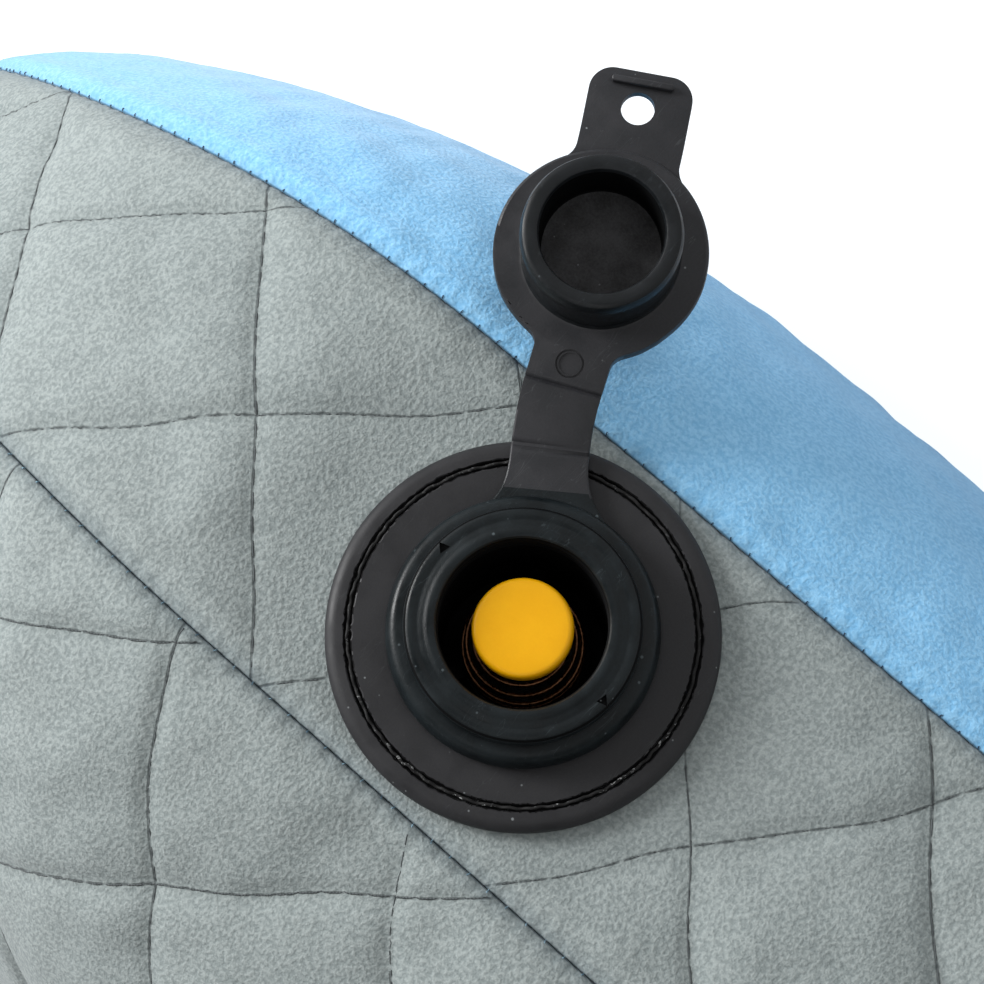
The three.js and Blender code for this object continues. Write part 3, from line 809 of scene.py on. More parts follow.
def stripPiece(name, stations, low, high, bevel):
    # a flat strip drawn out station by station (distance, half width), then given its thickness
    bpy.ops.object.select_all(action="DESELECT")
    (firstX, firstHalf), (nextX, nextHalf) = stations[:2]
    bpy.ops.mesh.primitive_plane_add(size=1, location=((firstX + nextX) / 2 * mm, 0, low * mm))
    piece = bpy.context.object
    piece.name = name
    editAll()
    bpy.ops.transform.resize(value=((nextX - firstX) * mm, 2 * firstHalf * mm, 1))
    leaveEdit()
    settle(piece)
    far = nextX * mm
    for vertex in piece.data.vertices:
        vertex.select = vertex.co.x > far - 1e-7
    for edge in piece.data.edges:
        edge.select = all(piece.data.vertices[k].select for k in edge.vertices)
    for face in piece.data.polygons:
        face.select = False
    bpy.ops.object.mode_set(mode="EDIT")
    bpy.ops.mesh.select_mode(type="EDGE")
    bpy.ops.transform.resize(value=(1, nextHalf / firstHalf, 1), center_override=(far, 0, low * mm))
    x, half = nextX, nextHalf
    for toX, toHalf in stations[2:]:
        bpy.ops.mesh.extrude_region_move(TRANSFORM_OT_translate={"value": ((toX - x) * mm, 0, 0)})
        bpy.ops.transform.resize(value=(1, toHalf / half, 1), center_override=(toX * mm, 0, low * mm))
        x, half = toX, toHalf
    bpy.ops.mesh.select_mode(type="FACE")
    bpy.ops.mesh.select_all(action="SELECT")
    bpy.ops.mesh.extrude_region_move(TRANSFORM_OT_translate={"value": (0, 0, (high - low) * mm)})
    bpy.ops.mesh.select_all(action="SELECT")
    bpy.ops.mesh.normals_make_consistent(inside=False)
    leaveEdit()
    softenEdges(piece, bevel, 50)
    return piece


def trimEnd(piece, x):
    # cuts a strip square at x; the side with the shorter remainder goes
    middleX = sum(vertex.co.x for vertex in piece.data.vertices) / len(piece.data.vertices)
    away = 1.0 if middleX < x * mm else -1.0
    bpy.ops.object.select_all(action="DESELECT")
    piece.select_set(True)
    bpy.context.view_layer.objects.active = piece
    editAll()
    bpy.ops.mesh.bisect(plane_co=(x * mm, 0, 0), plane_no=(away, 0, 0), use_fill=True, clear_outer=True)
    leaveEdit()
    return piece


def reshape(piece, change):
    # change takes and gives points in millimetres
    count = len(piece.data.vertices)
    points = np.zeros(count * 3)
    piece.data.vertices.foreach_get("co", points)
    points = change(points.reshape(-1, 3) / mm) * mm
    piece.data.vertices.foreach_set("co", points.ravel())
    piece.data.update()
    return piece


def ripple(turn, seed, count, high):
    rng = np.random.default_rng(seed)
    total = np.zeros_like(turn)
    for k in range(count):
        total += np.sin(turn * rng.integers(6, high) + rng.uniform(0, 6.28))
    return total / math.sqrt(count)


print("hole for the valve")
bpy.ops.object.select_all(action="DESELECT")
bpy.ops.mesh.primitive_cylinder_add(vertices=96, radius=pillow["valveHole"] * mm, depth=30 * mm,
                                    location=valveSpot, rotation=(math.pi / 2, 0, 0))
combine(frontGusset, "DIFFERENCE", bpy.context.object)

print("flange")
g, half, top = flange["groove"], flange["grooveHalf"], flange["top"]
floorLevel = top - flange["grooveDepth"]
flangePiece = turnPiece("flange", [
    (flange["hole"], flange["low"]), (23.7, flange["low"]), (flange["edge"], 0.6), (flange["edge"], 1.35),
    (23.86, 1.75), (23.45, 2.13), (23.0, 2.36), (22.6, 2.46), (g + half + 0.12, top),
    (g + half - 0.02, top - 0.1), (g + half - 0.14, floorLevel), (g - half + 0.14, floorLevel),
    (g - half + 0.02, top - 0.1), (g - half - 0.12, top), (18.6, top + 0.02), (17.2, top),
    (flange["hole"] + 0.2, top), (flange["hole"], top - 0.2),
], 288)


def raggedGroove(points):
    reach = np.hypot(points[:, 0], points[:, 1])
    turn = np.arctan2(points[:, 1], points[:, 0])
    beside = (np.abs(np.abs(reach - g) - half) < 0.2) & (points[:, 2] > floorLevel + 0.1)
    move = np.where(beside, flange["ragged"] * ripple(turn + (reach > g) * 2.0, 3, 9, 120), 0.0)
    grow = (reach + move) / np.maximum(reach, 1e-6)
    points[:, 0] *= grow
    points[:, 1] *= grow
    return points


reshape(flangePiece, raggedGroove)
settle(flangePiece, valvePlace)
smoothShade(flangePiece)

# the thread dips under the flange at each stitch
count = flange["stitches"] * 12
turn = np.arange(count) * 2 * math.pi / count
phase = turn * flange["stitches"]
stitchLevel = floorLevel + 0.30 + 0.16 * np.clip(np.cos(phase) + 0.55, -1.0, 1.0)
stitchRadius = g + 0.06 * np.sin(phase / 2 + 0.4) + 0.05 * ripple(turn, 9, 6, 90)
threadPath = np.column_stack([stitchRadius * np.cos(turn), stitchRadius * np.sin(turn), stitchLevel])
threadPath = np.vstack([threadPath, threadPath[:2] + [1e-4, 0, 0]])
flangeStitches = tubeMesh("flange_stitches", [threadPath], flange["threadRadius"], 8)
settle(flangeStitches, valvePlace)

print("valve body")
v = valve
ridges = [(v["bore"], 7.9), (v["bore"] - 0.14, 7.75), (v["bore"] - 0.14, 7.55), (v["bore"], 7.4),
          (v["bore"], 6.7), (v["bore"] - 0.12, 6.55), (v["bore"] - 0.12, 6.35), (v["bore"], 6.2),
          (v["bore"], 5.5), (v["bore"] - 0.12, 5.35), (v["bore"] - 0.12, 5.15), (v["bore"], 5.0)]
body = turnPiece("valve_housing", [
    (v["seat"], v["seatLow"]), (v["tube"], v["seatLow"]), (v["tube"], 2.7), (v["neck"], 2.7),
    (v["neck"], v["lipLow"]), (v["lip"] - 0.25, v["lipLow"]), (v["lip"], v["lipLow"] + 0.3),
    (v["lip"], v["lipTop"] - 0.75), (v["lip"] - 0.1, v["lipTop"] - 0.4),
    (v["lip"] - 0.35, v["lipTop"] - 0.12), (v["lip"] - 0.7, v["lipTop"]),
    (13.0, v["lipTop"] + 0.02), (12.75, v["lipTop"] - 0.05),
    (12.55, v["lipTop"] - 0.05), (12.35, v["lipTop"] + 0.06), (12.0, v["lipTop"] + 0.1),
    (v["rim"] + 0.12, v["lipTop"] + 0.2), (v["rim"] - 0.12, v["mouth"] - 0.06),
    (v["rim"] - 0.4, v["mouth"]), (v["bore"] + 0.55, v["mouth"]),
    (v["bore"] + 0.25, v["mouth"] - 0.08), (v["bore"] + 0.06, v["mouth"] - 0.3),
    *ridges, (v["bore"], v["seatLow"] + 2.0), (v["seat"], v["seatLow"] + 2.0),
], v["sides"])
marks = []
for degrees in v["markAngles"]:
    bpy.ops.object.select_all(action="DESELECT")
    angle = math.radians(degrees)
    spot = (v["markRadius"] * math.cos(angle) * mm, v["markRadius"] * math.sin(angle) * mm,
            (v["lipTop"] + 0.5) * mm)
    bpy.ops.mesh.primitive_cone_add(
        vertices=3, radius1=v["markSize"] * 0.8 * mm, radius2=v["markSize"] * 1.15 * mm,
        depth=(1.0 + 2 * v["markDepth"]) * mm, location=spot, rotation=(0, 0, angle + 0.35))
    mark = bpy.context.object
    settle(mark)
    marks.append(mark)
combine(body, "DIFFERENCE", *marks)
guide = turnPiece("guide", [(v["hubBore"], v["hubLow"]), (v["hub"], v["hubLow"]), (v["hub"], v["hubTop"]),
                            (v["hubBore"], v["hubTop"])], 48, bevel=0.15)
arms = []
for k in range(3):
    bpy.ops.object.select_all(action="DESELECT")
    armSpot = ((v["hub"] + v["bore"]) / 2 * mm, 0, (v["hubTop"] + v["hubLow"]) / 2 * mm)
    bpy.ops.mesh.primitive_cube_add(size=1, location=armSpot)
    arm = bpy.context.object
    editAll()
    armSize = (v["bore"] - v["hub"] + 1.0, v["spoke"], v["hubTop"] - v["hubLow"])
    bpy.ops.transform.resize(value=tuple(length * mm for length in armSize))
    leaveEdit()
    settle(arm, Matrix.Rotation(k * 2 * math.pi / 3, 4, "Z"))
    arms.append(arm)
combine(guide, "UNION", *arms)
combine(body, "UNION", guide)
settle(body, valvePlace)
smoothShade(body)

print("button and spring")
b = button
buttonPiece = turnPiece("push_button", [
    (1.3, b["end"]), (1.8, b["end"] + 0.15), (1.8, -20.4), (1.5, -20.4), (1.5, -18.3), (b["stem"], -18.3),
    (b["stem"], b["low"]), (b["radius"] - 0.2, b["low"]), (b["radius"], b["low"] + 0.15),
    (b["radius"], b["top"] - b["round"]), (b["radius"] - 0.06, b["top"] - 0.45),
    (b["radius"] - 0.22, b["top"] - 0.22), (b["radius"] - 0.45, b["top"] - 0.09),
    (b["radius"] - 0.8, b["top"] - 0.03), (4.2, b["top"]), (2.0, b["top"]), (0.4, b["top"]),
], b["sides"], solid=True)
settle(buttonPiece, valvePlace)
smoothShade(buttonPiece)

turns = np.linspace(0, coil["turns"] * 2 * math.pi, coil["turns"] * 40)
share = turns / turns[-1]
coilRadius = coil["radius"] + (coil["foot"] - coil["radius"]) * (1 - smooth(share, 0.15, 0.95))
coilPath = np.column_stack([coilRadius * np.cos(turns + 2.2), coilRadius * np.sin(turns + 2.2),
                            coil["low"] + (coil["high"] - coil["low"]) * share])
springPiece = tubeMesh("spring_coil", [coilPath], coil["wire"], 12)
settle(springPiece, valvePlace)

print("tether")
r, st = ring, strap
tetherPiece = turnPiece("tether", [
    (r["inner"], r["low"] + 0.2), (r["inner"] + 0.2, r["low"]), (r["outer"] - 0.3, r["low"]),
    (r["outer"], r["low"] + 0.35), (r["outer"] - 0.03, r["low"] + 1.0), (r["outer"] - 0.2, r["low"] + 1.7),
    (r["outer"] - 0.45, r["high"] - 0.75), (r["outer"] - 0.75, r["high"] - 0.3),
    (r["outer"] - 1.15, r["high"] - 0.08), (r["outer"] - 1.6, r["high"]),
    (r["inner"] + 0.3, r["high"]), (r["inner"], r["high"] - 0.2),
], v["sides"])
linkLength = (capCrease - strapCrease).length
strapFace = strapCrease.z                           # level of the strap's face on its base
root = r["inner"] + 0.5
creaseSteps = (-1.0, -0.7, -0.4, -0.2, 0.0, 0.2, 0.4, 0.7, 1.0)     # stations close together at a crease


def tailHalf(x):
    # the strap flares where it grows out of the ring
    share = np.clip((x - root) / (strapCrease.x - 1.6 - root), 0, 1)
    return st["half"] + st["spread"] * (1 - share) + st["flare"] * (1 - share) ** 2.8


middle = strapCrease.x + linkLength / 2
stations = [(x, tailHalf(x)) for x in np.arange(root, strapCrease.x - 1.2, 0.5)]
stations += [(strapCrease.x + d, st["half"]) for d in creaseSteps + (2.0, 3.0)]
stations += [(middle + 2.0, st["half"])]
tail = stripPiece("tail", stations, -st["thick"], 0.0, st["edge"])
trimEnd(tail, middle)


def swayAt(x):
    # the strap bows to one side and the cap leans back to the other; x runs from the valve's axis
    bow = st["bow"] * np.exp(-((x - st["bowAt"]) / st["bowLong"]) ** 2)
    return bow - st["sway"] * smooth(x, st["swayFrom"], st["swayTo"])


def swayed(points, start):
    x = start + points[:, 0]
    lean = (swayAt(x + 0.05) - swayAt(x - 0.05)) / 0.1
    points[:, 0] -= lean * points[:, 1]
    points[:, 1] += swayAt(x)
    return points


def onUpperSide(points):
    return points[:, 2] > -st["thick"] * 0.45


def creaseDent(x, at):
    return -st["creaseDepth"] * np.exp(-((x - at) / 0.22) ** 2)


def bendUp(points, hinge, face, angle, soft=0.9):
    # beyond the hinge the strip turns by angle, easing over a short length
    x, z = points[:, 0].copy(), points[:, 2].copy()
    grid = np.linspace(x.min() - 1, x.max() + 1, 4000)
    lean = angle * smooth(grid, hinge - soft, hinge + soft)
    pathX = np.concatenate([[0], np.cumsum(np.cos(lean[:-1]) * np.diff(grid))]) + grid[0]
    pathZ = np.concatenate([[0], np.cumsum(np.sin(lean[:-1]) * np.diff(grid))])
    at = np.interp(x, grid, lean)
    points[:, 0] = np.interp(x, grid, pathX) - z * np.sin(at)
    points[:, 2] = face + np.interp(x, grid, pathZ) + z * np.cos(at)
    return points


def shapeTail(points):
    points = swayed(points, 0.0)
    upper = onUpperSide(points)
    points[upper, 2] += creaseDent(points[upper, 0], strapCrease.x)
    return bendUp(points, strapCrease.x, strapFace, linkAngle)


reshape(tail, shapeTail)
combine(tetherPiece, "UNION", tail)
bore = turnPiece("bore", [(r["inner"], -5), (r["inner"], 12)], v["sides"], solid=True)
combine(tetherPiece, "DIFFERENCE", bore)
settle(tetherPiece, valvePlace)
smoothShade(tetherPiece)

print("cap")
c = cap
lidAngle = math.radians(c["lean"])
capPlace = valvePlace @ Matrix.Translation(capCrease * mm) @ Matrix.Rotation(-lidAngle, 4, "Y")


def filleted(x, halfStrip, radius, side):
    # half width of the strip where it runs into the round disc
    run = math.sqrt((c["disc"] + radius) ** 2 - (halfStrip + radius) ** 2)
    away = side * (x - c["centre"])
    if away >= run:
        return halfStrip
    touch = run * c["disc"] / (c["disc"] + radius)
    if away > touch:
        return halfStrip + radius - math.sqrt(max(radius ** 2 - (run - away) ** 2, 0))
    return math.sqrt(max(c["disc"] ** 2 - away ** 2, 0.01)) - 0.05


def capHalf(x):
    if x < c["centre"]:
        return filleted(x, st["half"], c["filletNear"], -1)
    half = filleted(x, c["tabHalf"], c["filletFar"], 1)
    corner = c["tabEnd"] - c["tabRound"]
    if x > corner:
        half = c["tabHalf"] - c["tabRound"] + math.sqrt(max(c["tabRound"] ** 2 - (x - corner) ** 2, 0.01))
    return half


stations = [(-linkLength / 2 - 1.0, st["half"])]
stations += [(d, st["half"]) for d in (-3.0, -2.0) + creaseSteps]
stations += [(x, capHalf(x)) for x in np.arange(1.4, 7.0, 0.2)]
stations += [(x, capHalf(x)) for x in np.arange(8.0, 25.0, 1.0)]
stations += [(x, capHalf(x)) for x in np.arange(25.4, c["tabEnd"] - c["tabRound"], 0.3)]
roundTab = [c["tabEnd"] - c["tabRound"] * (1 - math.sin(a)) for a in np.linspace(0.1, math.pi / 2 - 0.02, 12)]
stations += [(x, capHalf(x)) for x in roundTab]
capPiece = stripPiece("cap_and_plug", stations, -st["thick"], 0.0, st["edge"])
trimEnd(capPiece, -linkLength / 2)


def shapeLid(points):
    upper = onUpperSide(points)
    x = points[:, 0].copy()
    lift = creaseDent(x, 0.0) + c["proud"] * smooth(x, 0.4, 4.5) * (x < c["centre"])
    points[upper, 2] += lift[upper]
    return points


def bendLid(points):
    points = swayed(points, strapCrease.x + linkLength)
    points[:, 0] *= -1                              # bent the other way round, from the lid's side
    points = bendUp(points, 0.0, 0.0, lidAngle - linkAngle)
    points[:, 0] *= -1
    return points


reshape(capPiece, shapeLid)
top, plug = c["proud"], c["plug"]
disc = turnPiece("disc", [
    (c["disc"] - 0.35, -st["thick"]), (c["disc"], -st["thick"] + 0.35), (c["disc"], top - 0.5),
    (c["disc"] - 0.12, top - 0.2), (c["disc"] - 0.4, top), (plug + 0.6, top), (plug + 0.25, top + 0.12),
    (plug, top + 0.5), (plug - 0.05, top + 5.9), (plug + 0.1, top + 6.5),
    (plug + c["bead"] - 0.03, top + 7.0), (plug + c["bead"], top + 7.5),
    (plug + c["bead"] - 0.07, top + 8.0), (plug + 0.05, top + 8.4), (plug - 0.1, top + 8.75),
    (plug - 0.4, top + 8.95), (plug - 0.75, top + c["plugHigh"]), (c["plugInner"] + 0.45, top + 8.97),
    (c["plugInner"] + 0.2, top + 8.86), (c["plugInner"] + 0.05, top + 8.6), (c["plugInner"], top + 8.2),
    (c["plugInner"] - 0.05, top + 1.1), (c["plugInner"] - 0.25, top + 0.9), (c["plugInner"] - 0.9, top + 0.8),
], v["sides"], solid=True)
disc.data.transform(Matrix.Translation((c["centre"] * mm, 0, 0)))
combine(capPiece, "UNION", disc)
grip = stripPiece("grip", [(c["gripFrom"], c["gripHalf"] - 0.25), (c["gripFrom"] + 0.2, c["gripHalf"]),
                           (c["gripTo"] - 0.2, c["gripHalf"]), (c["gripTo"], c["gripHalf"] - 0.25)],
                  -0.4, c["gripHigh"], 0.22)
combine(capPiece, "UNION", grip)
holeTool = turnPiece("holeTool", [(c["hole"], -5), (c["hole"], 5)], 48, solid=True)
holeTool.data.transform(Matrix.Translation((c["holeAt"] * mm, 0, 0)))
markPlace = Matrix.Translation((c["ejectorAt"] * mm, 0, c["ejectorLevel"] * mm))
markPlace = markPlace @ Matrix.Rotation(-c["ejectorLean"], 4, "Y")
markTool = turnPiece("markTool", [(c["ejector"] - 0.25, -0.28), (c["ejector"], -0.28), (c["ejector"], 2.0),
                                  (c["ejector"] - 0.25, 2.0)], 40)
markTool.data.transform(markPlace)
dishTool = turnPiece("dishTool", [(c["ejector"] - 0.4, -0.16), (c["ejector"] - 0.4, 2.0)], 40, solid=True)
dishTool.data.transform(markPlace)
combine(capPiece, "DIFFERENCE", holeTool, markTool, dishTool)
cupFaces, wallFaces, plugFaces = [], [], []           # the cup's floor, its wall, and the rest of the plug
for face in capPiece.data.polygons:
    reach = math.hypot(face.center.x / mm - c["centre"], face.center.y / mm)
    level = face.center.z / mm
    if reach < c["plugInner"] - 0.2 and abs(level - (top + 0.8)) < 0.3 and face.normal.z > 0.3:
        cupFaces.append(face.index)
    elif reach < c["plugInner"] + 0.1 and top < level < top + 8.3:
        wallFaces.append(face.index)
    elif reach < c["plug"] + c["bead"] + 0.2 and level > top + 0.1:
        plugFaces.append(face.index)
reshape(capPiece, bendLid)
settle(capPiece, capPlace)
smoothShade(capPiece)

print("materials")


def linear(red, green, blue):
    # from the 0-255 numbers of a colour picker
    parts = [value / 255 for value in (red, green, blue)]
    return tuple(v / 12.92 if v <= 0.04045 else ((v + 0.055) / 1.055) ** 2.4 for v in parts) + (1.0,)


def add(tree, kind, **values):
    node = tree.nodes.new(kind)
    for label, value in values.items():
        setattr(node, label, value)
    return node


def feed(tree, socket, value):
    if isinstance(value, bpy.types.NodeSocket):
        tree.links.new(value, socket)
    else:
        socket.default_value = value


def maths(tree, operation, first, second=None):
    node = add(tree, "ShaderNodeMath", operation=operation)
    for socket, value in zip(node.inputs, (first, second)):
        if value is not None:
            feed(tree, socket, value)
    return node.outputs[0]


def times(tree, first, second):
    return maths(tree, "MULTIPLY", first, second)


def plus(tree, first, second):
    return maths(tree, "ADD", first, second)


def minus(tree, first, second):
    return maths(tree, "SUBTRACT", first, second)


def ramp(tree, value, low, high, toLow=0.0, toHigh=1.0):
    # eases from toLow to toHigh while the value goes from low to high
    node = add(tree, "ShaderNodeMapRange", interpolation_type="SMOOTHSTEP")
    for label, number in (("Value", value), ("From Min", low), ("From Max", high),
                          ("To Min", toLow), ("To Max", toHigh)):
        feed(tree, node.inputs[label], number)
    return node.outputs["Result"]


def mixColor(tree, factor, first, second):
    node = add(tree, "ShaderNodeMix", data_type="RGBA", blend_type="MIX")
    feed(tree, node.inputs[0], factor)
    feed(tree, node.inputs[6], first)
    feed(tree, node.inputs[7], second)
    return node.outputs[2]


def noise(tree, vector, wave, detail=3.0, roughness=0.55, distortion=0.0):
    # wave is the size of its features, in millimetres
    node = add(tree, "ShaderNodeTexNoise")
    feed(tree, node.inputs["Vector"], vector)
    node.inputs["Scale"].default_value = 1000.0 / wave
    node.inputs["Detail"].default_value = detail
    node.inputs["Roughness"].default_value = roughness
    node.inputs["Distortion"].default_value = distortion
    return node.outputs["Fac"]


def newGroup(name, inputs, outputs):
    group = bpy.data.node_groups.new(name, "ShaderNodeTree")
    for label, kind, value in inputs:
        socket = group.interface.new_socket(name=label, in_out="INPUT", socket_type=kind)
        if value is not None:
            socket.default_value = value
    for label, kind in outputs:
        group.interface.new_socket(name=label, in_out="OUTPUT", socket_type=kind)
    return group, group.nodes.new("NodeGroupInput").outputs, group.nodes.new("NodeGroupOutput").inputs


def useGroup(tree, group, **values):
    node = add(tree, "ShaderNodeGroup", node_tree=group)
    for label, value in values.items():
        feed(tree, node.inputs[label.replace("_", " ")], value)
    return node.outputs


def makeNap():
    # brushed suede: pebbled tufts, finer fibres, and slow patches where the nap lies another way
    group, given, out = newGroup(
        "suedeNap", [("Vector", "NodeSocketVector", None), ("Tuft", "NodeSocketFloat", 1.0)],
        [("Tone", "NodeSocketFloat"), ("Height", "NodeSocketFloat")])
    scaled = add(group, "ShaderNodeVectorMath", operation="SCALE")
    feed(group, scaled.inputs[0], given["Vector"])
    feed(group, scaled.inputs["Scale"], given["Tuft"])
    vector = scaled.outputs[0]
    tufts = noise(group, vector, 0.56, 1.2, 0.5, 0.1)
    fibres = noise(group, vector, 0.22, 2.0, 0.6)
    patches = noise(group, vector, 6.0, 2.0, 0.5)
    wide = noise(group, vector, 34.0, 2.0, 0.5)
    height = plus(group, times(group, tufts, 0.85), times(group, fibres, 0.15))
    fine = plus(group, times(group, ramp(group, tufts, 0.32, 0.68), 0.58),
                times(group, ramp(group, fibres, 0.3, 0.7), 0.26))
    slow = plus(group, times(group, ramp(group, patches, 0.3, 0.7), 0.08),
                times(group, ramp(group, wide, 0.3, 0.7), 0.08))
    feed(group, out["Tone"], plus(group, fine, slow))
    feed(group, out["Height"], height)
    return group


def makeStitchLines():
    # quilting: a thin crease on each line, with painted shade along the crease and across its valley, and a
    # darker dot of painted shade in the dimple where the needle went through
    group, given, out = newGroup(
        "quiltLines", [("Vector", "NodeSocketVector", None), ("Pitch A", "NodeSocketFloat", 30.0),
                       ("Pitch B", "NodeSocketFloat", 30.0), ("Stitch", "NodeSocketFloat", 3.0),
                       ("Dash A", "NodeSocketFloat", 0.3), ("Dash B", "NodeSocketFloat", 0.75)],
        [("Line", "NodeSocketFloat"), ("NeedleShade", "NodeSocketFloat"), ("ValleyShade", "NodeSocketFloat"),
         ("Side", "NodeSocketFloat")])
    parts = add(group, "ShaderNodeSeparateXYZ")
    feed(group, parts.inputs[0], given["Vector"])
    found = []
    for axis, other, pitch, run, dash in ((0, 1, "Pitch A", "Pitch B", "Dash A"),
                                          (1, 0, "Pitch B", "Pitch A", "Dash B")):
        value = parts.outputs[axis]
        away = maths(group, "ABSOLUTE", minus(group, value, maths(group, "ROUND", value)))
        away = times(group, away, given[pitch])
        along = maths(group, "DIVIDE", times(group, parts.outputs[other], given[run]), given["Stitch"])
        beat = maths(group, "ABSOLUTE", minus(group, maths(group, "FRACT", along), 0.5))
        beside = maths(group, "POWER", away, 2.0)
        onward = maths(group, "POWER", times(group, beat, given["Stitch"]), 2.0)
        gap = maths(group, "SQRT", plus(group, beside, onward))
        # the line fades between stitches by the dash share
        fade = times(group, ramp(group, beat, 0.30, 0.44), given[dash])
        # the crease line is painted shade, darkest in the middle of the crease
        line = times(group, ramp(group, away, 0.04, 0.27, 1.0, 0.0), minus(group, 1.0, fade))
        found.append((line, ramp(group, gap, 0.12, 0.5, 1.0, 0.0),
                      ramp(group, away, 0.3, 2.6, 1.0, 0.0)))
    for k, label in enumerate(("Line", "NeedleShade", "ValleyShade")):
        feed(group, out[label], maths(group, "MAXIMUM", found[0][k], found[1][k]))
    # 1 where the rising line is the nearer one
    feed(group, out["Side"], maths(group, "GREATER_THAN", found[0][2], found[1][2]))
    return group


def makeMoulded():
    # moulded plastic: fine grain, cloudy gloss, light dust specks and hair scratches
    group, given, out = newGroup(
        "mouldedPlastic", [("Vector", "NodeSocketVector", None), ("Dust", "NodeSocketFloat", 0.5),
                           ("Scratches", "NodeSocketFloat", 0.5)],
        [("Tone", "NodeSocketFloat"), ("Specks", "NodeSocketFloat"), ("Grain", "NodeSocketFloat"),
         ("Haze", "NodeSocketFloat")])
    vector = given["Vector"]
    grain = noise(group, vector, 0.28, 3.0, 0.6)
    haze = noise(group, vector, 4.5, 3.0, 0.55)
    cells = add(group, "ShaderNodeTexVoronoi", feature="F1")
    feed(group, cells.inputs["Vector"], vector)
    cells.inputs["Scale"].default_value = 1100.0
    chance = add(group, "ShaderNodeSeparateColor")
    feed(group, chance.inputs[0], cells.outputs["Color"])
    limit = minus(group, 1.0, times(group, given["Dust"], 0.10))
    rare = maths(group, "GREATER_THAN", chance.outputs[0], limit)
    size = times(group, chance.outputs[1], 0.16)
    dot = ramp(group, minus(group, cells.outputs["Distance"], size), 0.0, 0.12, 1.0, 0.0)
    dust = times(group, dot, rare)
    hairs = None
    for k, (angle, seedShift) in enumerate(((0.4, 0.0), (1.3, 3.7), (2.4, 8.1))):
        turned = add(group, "ShaderNodeMapping")
        feed(group, turned.inputs["Vector"], vector)
        turned.inputs["Location"].default_value = (seedShift * 0.01, 0.0, 0.0)
        turned.inputs["Rotation"].default_value = (0.2 * k, angle, 0.3)
        turned.inputs["Scale"].default_value = (1.0, 1.0, 0.10)
        line = noise(group, turned.outputs[0], 0.75, 1.0, 0.4)
        offMiddle = maths(group, "ABSOLUTE", minus(group, line, 0.5))
        band = ramp(group, offMiddle, 0.0, 0.010, 1.0, 0.0)
        place = ramp(group, noise(group, turned.outputs[0], 2.6, 1.0), 0.60, 0.66)
        hair = times(group, band, place)
        hairs = hair if hairs is None else maths(group, "MAXIMUM", hairs, hair)
    marks = maths(group, "MAXIMUM", dust, times(group, hairs, given["Scratches"]))
    feed(group, out["Tone"], plus(group, times(group, haze, 0.7), times(group, grain, 0.3)))
    feed(group, out["Specks"], marks)
    feed(group, out["Grain"], grain)
    feed(group, out["Haze"], haze)
    return group


napGroup = makeNap()
linesGroup = makeStitchLines()
mouldedGroup = makeMoulded()


def begin(name, roughness, **sockets):
    material = bpy.data.materials.new(name)
    material.use_nodes = True
    shader = material.node_tree.nodes["Principled BSDF"]
    shader.inputs["Roughness"].default_value = roughness
    for label, value in sockets.items():
        shader.inputs[label.replace("_", " ")].default_value = value
    coordinates = add(material.node_tree, "ShaderNodeTexCoord")
    return material, material.node_tree, shader, coordinates.outputs["Object"]


def bumped(tree, shader, height, strength, distance):
    bump = add(tree, "ShaderNodeBump")
    bump.inputs["Strength"].default_value = strength
    bump.inputs["Distance"].default_value = distance * mm
    feed(tree, bump.inputs["Height"], height)
    feed(tree, shader.inputs["Normal"], bump.outputs[0])


suede = {
    "grey": {"low": (123, 132, 132), "high": (160, 168, 167), "sheen": 0.15, "tuft": 1.0, "bump": 0.34},
    "blue": {"low": (116, 178, 222), "high": (154, 208, 244), "sheen": 0.3, "tuft": 0.95, "bump": 0.30},
}


def plainMask(tree, vector, rising):
    # 0 on the rising line over the valve, where no stitches show; 1 elsewhere
    parts = add(tree, "ShaderNodeSeparateXYZ")
    feed(tree, parts.inputs[0], vector)
    low, high, level = (v * mm for v in (-31.0, 10.0, midHeight + 12.0))
    x = minus(tree, parts.outputs[0], valveSpot.x)
    onFront = -pillow["halfWidth"] * mm + 0.006
    inside = times(tree, maths(tree, "GREATER_THAN", x, low), maths(tree, "LESS_THAN", x, high))
    inside = times(tree, inside, maths(tree, "GREATER_THAN", parts.outputs[2], level))
    inside = times(tree, inside, maths(tree, "LESS_THAN", parts.outputs[1], onFront))
    return minus(tree, 1.0, times(tree, inside, rising))


